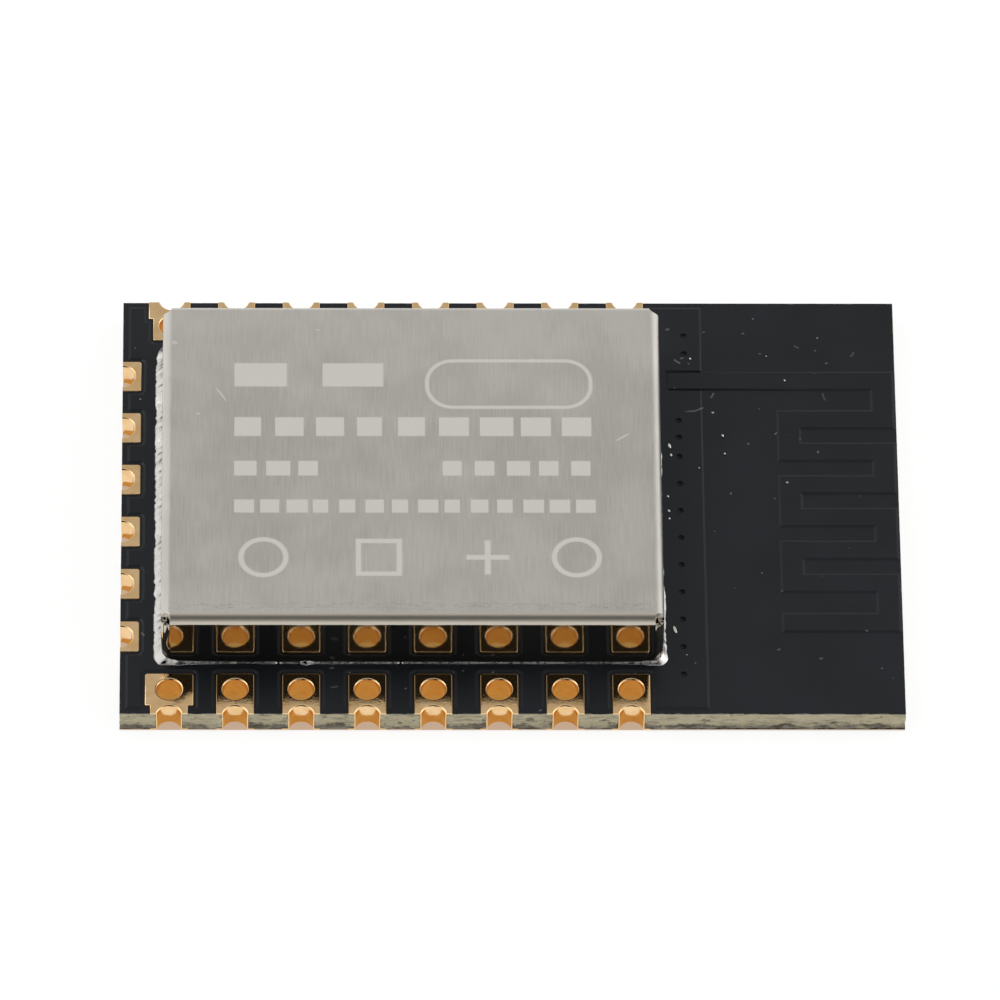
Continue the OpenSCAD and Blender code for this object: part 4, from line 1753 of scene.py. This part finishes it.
@dataclass(frozen=True)
class Lamp:
    """One round soft lamp that faces the module: its place, its size in metres and its power in watts."""

    name: str
    place: Point3
    size: float
    power: float


@dataclass
class Studio:
    """Plain pale floor, soft light and the camera."""

    elevation: float = 52.645
    azimuth: float = -1.473
    roll: float = 1.212
    distance: float = 0.412
    lens: float = 484.5
    target: Vector = field(default_factory=lambda: Vector((-0.000316, 0.000245, 0.0008)))
    # Painted glow under the board: orange tones that stand in for the light in the plated holes, for gloss,
    # for the eye and under the half holes.
    painted_glow_under_holes: Colour = (0.61, 0.37, 0.125)
    painted_glow_seen_in_holes: Colour = (0.47, 0.225, 0.052)
    painted_glow_under_notches: Colour = (0.58, 0.42, 0.30)
    white: Colour = (1.0, 1.0, 1.0)
    floor_white: Colour = (0.86, 0.86, 0.86)
    floor_half: float = 3.0
    floor_gap: float = 0.00002
    floor_glow: float = 1.14
    glow_share: float = 0.76
    sky: Colour = (1.0, 0.995, 0.985)
    lamps: tuple[Lamp, ...] = (Lamp("lamp_key", (-0.5, 0.2, 0.78), 0.5, 0.9),
                               Lamp("lamp_right", (0.85, 0.1, 0.4), 0.6, 0.9),
                               Lamp("lamp_front", (0.2, -0.9, 0.28), 0.6, 0.45))

    def camera(self) -> None:
        """Places the camera and makes it the scene's."""
        el, az = math.radians(self.elevation), math.radians(self.azimuth)
        back = Vector((math.sin(az) * math.cos(el), -math.cos(az) * math.cos(el), math.sin(el)))
        data = bpy.data.cameras.new("camera")
        data.lens, data.sensor_width = self.lens, 36.0
        data.clip_start, data.clip_end = 0.01, 20.0
        camera = bpy.data.objects.new("camera", data)
        camera.location = self.target + back * self.distance
        camera.rotation_mode = "QUATERNION"
        camera.rotation_quaternion = ((-back).to_track_quat("-Z", "Y")
                                      @ Quaternion((0, 0, 1), math.radians(self.roll)))
        bpy.context.scene.collection.objects.link(camera)
        bpy.context.scene.camera = camera

    def floor(self) -> None:
        """Makes a wide pale floor that keeps the module's shadow and shows white to the eye and in gloss.

        Right under the board it is shaded and glows in painted orange tones, which stand in for the light
        in the plated holes and half holes above it.
        """
        shape = bmesh.new()
        bmesh.ops.create_grid(shape, x_segments=8, y_segments=8, size=self.floor_half)
        floor = scratch("floor", shape)
        floor.location.z = -self.floor_gap
        made = bpy.data.materials.new("pale_floor")
        made.use_nodes = True
        net = Net(made.node_tree)
        path = net.add("ShaderNodeLightPath")
        eye = Value(net, path.outputs["Is Camera Ray"])
        seen = (eye.at_least(Value(net, path.outputs["Is Glossy Ray"]))
                .at_least(Value(net, path.outputs["Is Transmission Ray"])))
        x, y, *_ = net.place()
        low, high = node_box("woven_glass_core")
        covered = (x.above(low.x) * (high.x - x).above(0.0)) * (y.above(low.y) * (high.y - y).above(0.0))
        edge = (x - low.x).at_most(y - low.y).at_most(high.y - y).ramp(0.42, 0.3)
        # Painted glow: where the holes look down on it the floor is orange, and near the edges with half
        # holes it is paler.
        shaded = net.mix(edge, self.painted_glow_seen_in_holes, self.painted_glow_under_notches)
        below = Value(net, net.add("ShaderNodeNewGeometry").outputs["Backfacing"])
        tone = net.mix(covered * (1 - below), self.white, net.mix(eye, self.painted_glow_under_holes, shaded))
        matt = net.add("ShaderNodeBsdfDiffuse", {}, {"Color": net.mix(covered, self.floor_white, shaded)})
        glow = net.add("ShaderNodeEmission", {}, {"Color": tone, "Strength": self.floor_glow})
        both = net.add("ShaderNodeMixShader", {},
                       {0: seen * self.glow_share, 1: matt.outputs[0], 2: glow.outputs[0]})
        net.add("ShaderNodeOutputMaterial", {}, {0: both.outputs[0]})
        floor.data.materials.append(made)

    def world(self) -> None:
        """Makes soft surroundings: bright sides and a low bright back, a dark patch high in front."""
        world = bpy.data.worlds.new("studio")
        world.use_nodes = True
        bpy.context.scene.world = world
        net = Net(world.node_tree)
        x, y, z = net.split("Generated")
        side = abs(x).ramp(0.3, 0.75)
        angle = net.node("ShaderNodeMath", {"operation": "ARCTAN2"}, {0: -y, 1: z}) * (180 / math.pi)
        overhead = angle.ramp(-26.0, -12.0) * 0.14
        dim = angle.ramp(3.0, 20.0) * angle.ramp(92.0, 68.0) * 0.68
        low_front = angle.ramp(50.0, 70.0) * -0.18
        low_back = angle.ramp(-56.0, -76.0) * 0.2
        middle = overhead - dim + low_front + low_back + 0.56
        strength = side * (x.ramp(-0.2, 0.2, 1.0, 1.12) - middle) + middle
        light = net.add("ShaderNodeBackground", {}, {"Color": self.sky, "Strength": strength})
        net.add("ShaderNodeOutputWorld", {}, {0: light.outputs[0]})

    def light(self) -> None:
        """Places the soft lamps: one above on the left, one on the right and one low in front."""
        for lamp in self.lamps:
            data = bpy.data.lights.new(lamp.name, "AREA")
            data.shape, data.size, data.energy = "DISK", lamp.size, lamp.power
            made = bpy.data.objects.new(lamp.name, data)
            made.location = lamp.place
            made.rotation_euler = (-Vector(lamp.place)).to_track_quat("-Z", "Y").to_euler()
            bpy.context.scene.collection.objects.link(made)

    def build(self) -> None:
        """Sets the whole stage."""
        bpy.context.scene.view_settings.view_transform = "Standard"
        self.camera()
        self.floor()
        self.world()
        self.light()


def main() -> None:
    """Builds the pieces in order and reports each one."""
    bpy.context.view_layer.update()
    Studio().build()
    SolidFinishes().dress()
    ShieldCan().build()
    MaskRelief().build()
    SolderSeam().build()
    TerminalRows().build()
    RoutedCore().build()
    SolderBeads().build()
    LOG.info("module dressed")


if __name__ == "__main__":
    main()
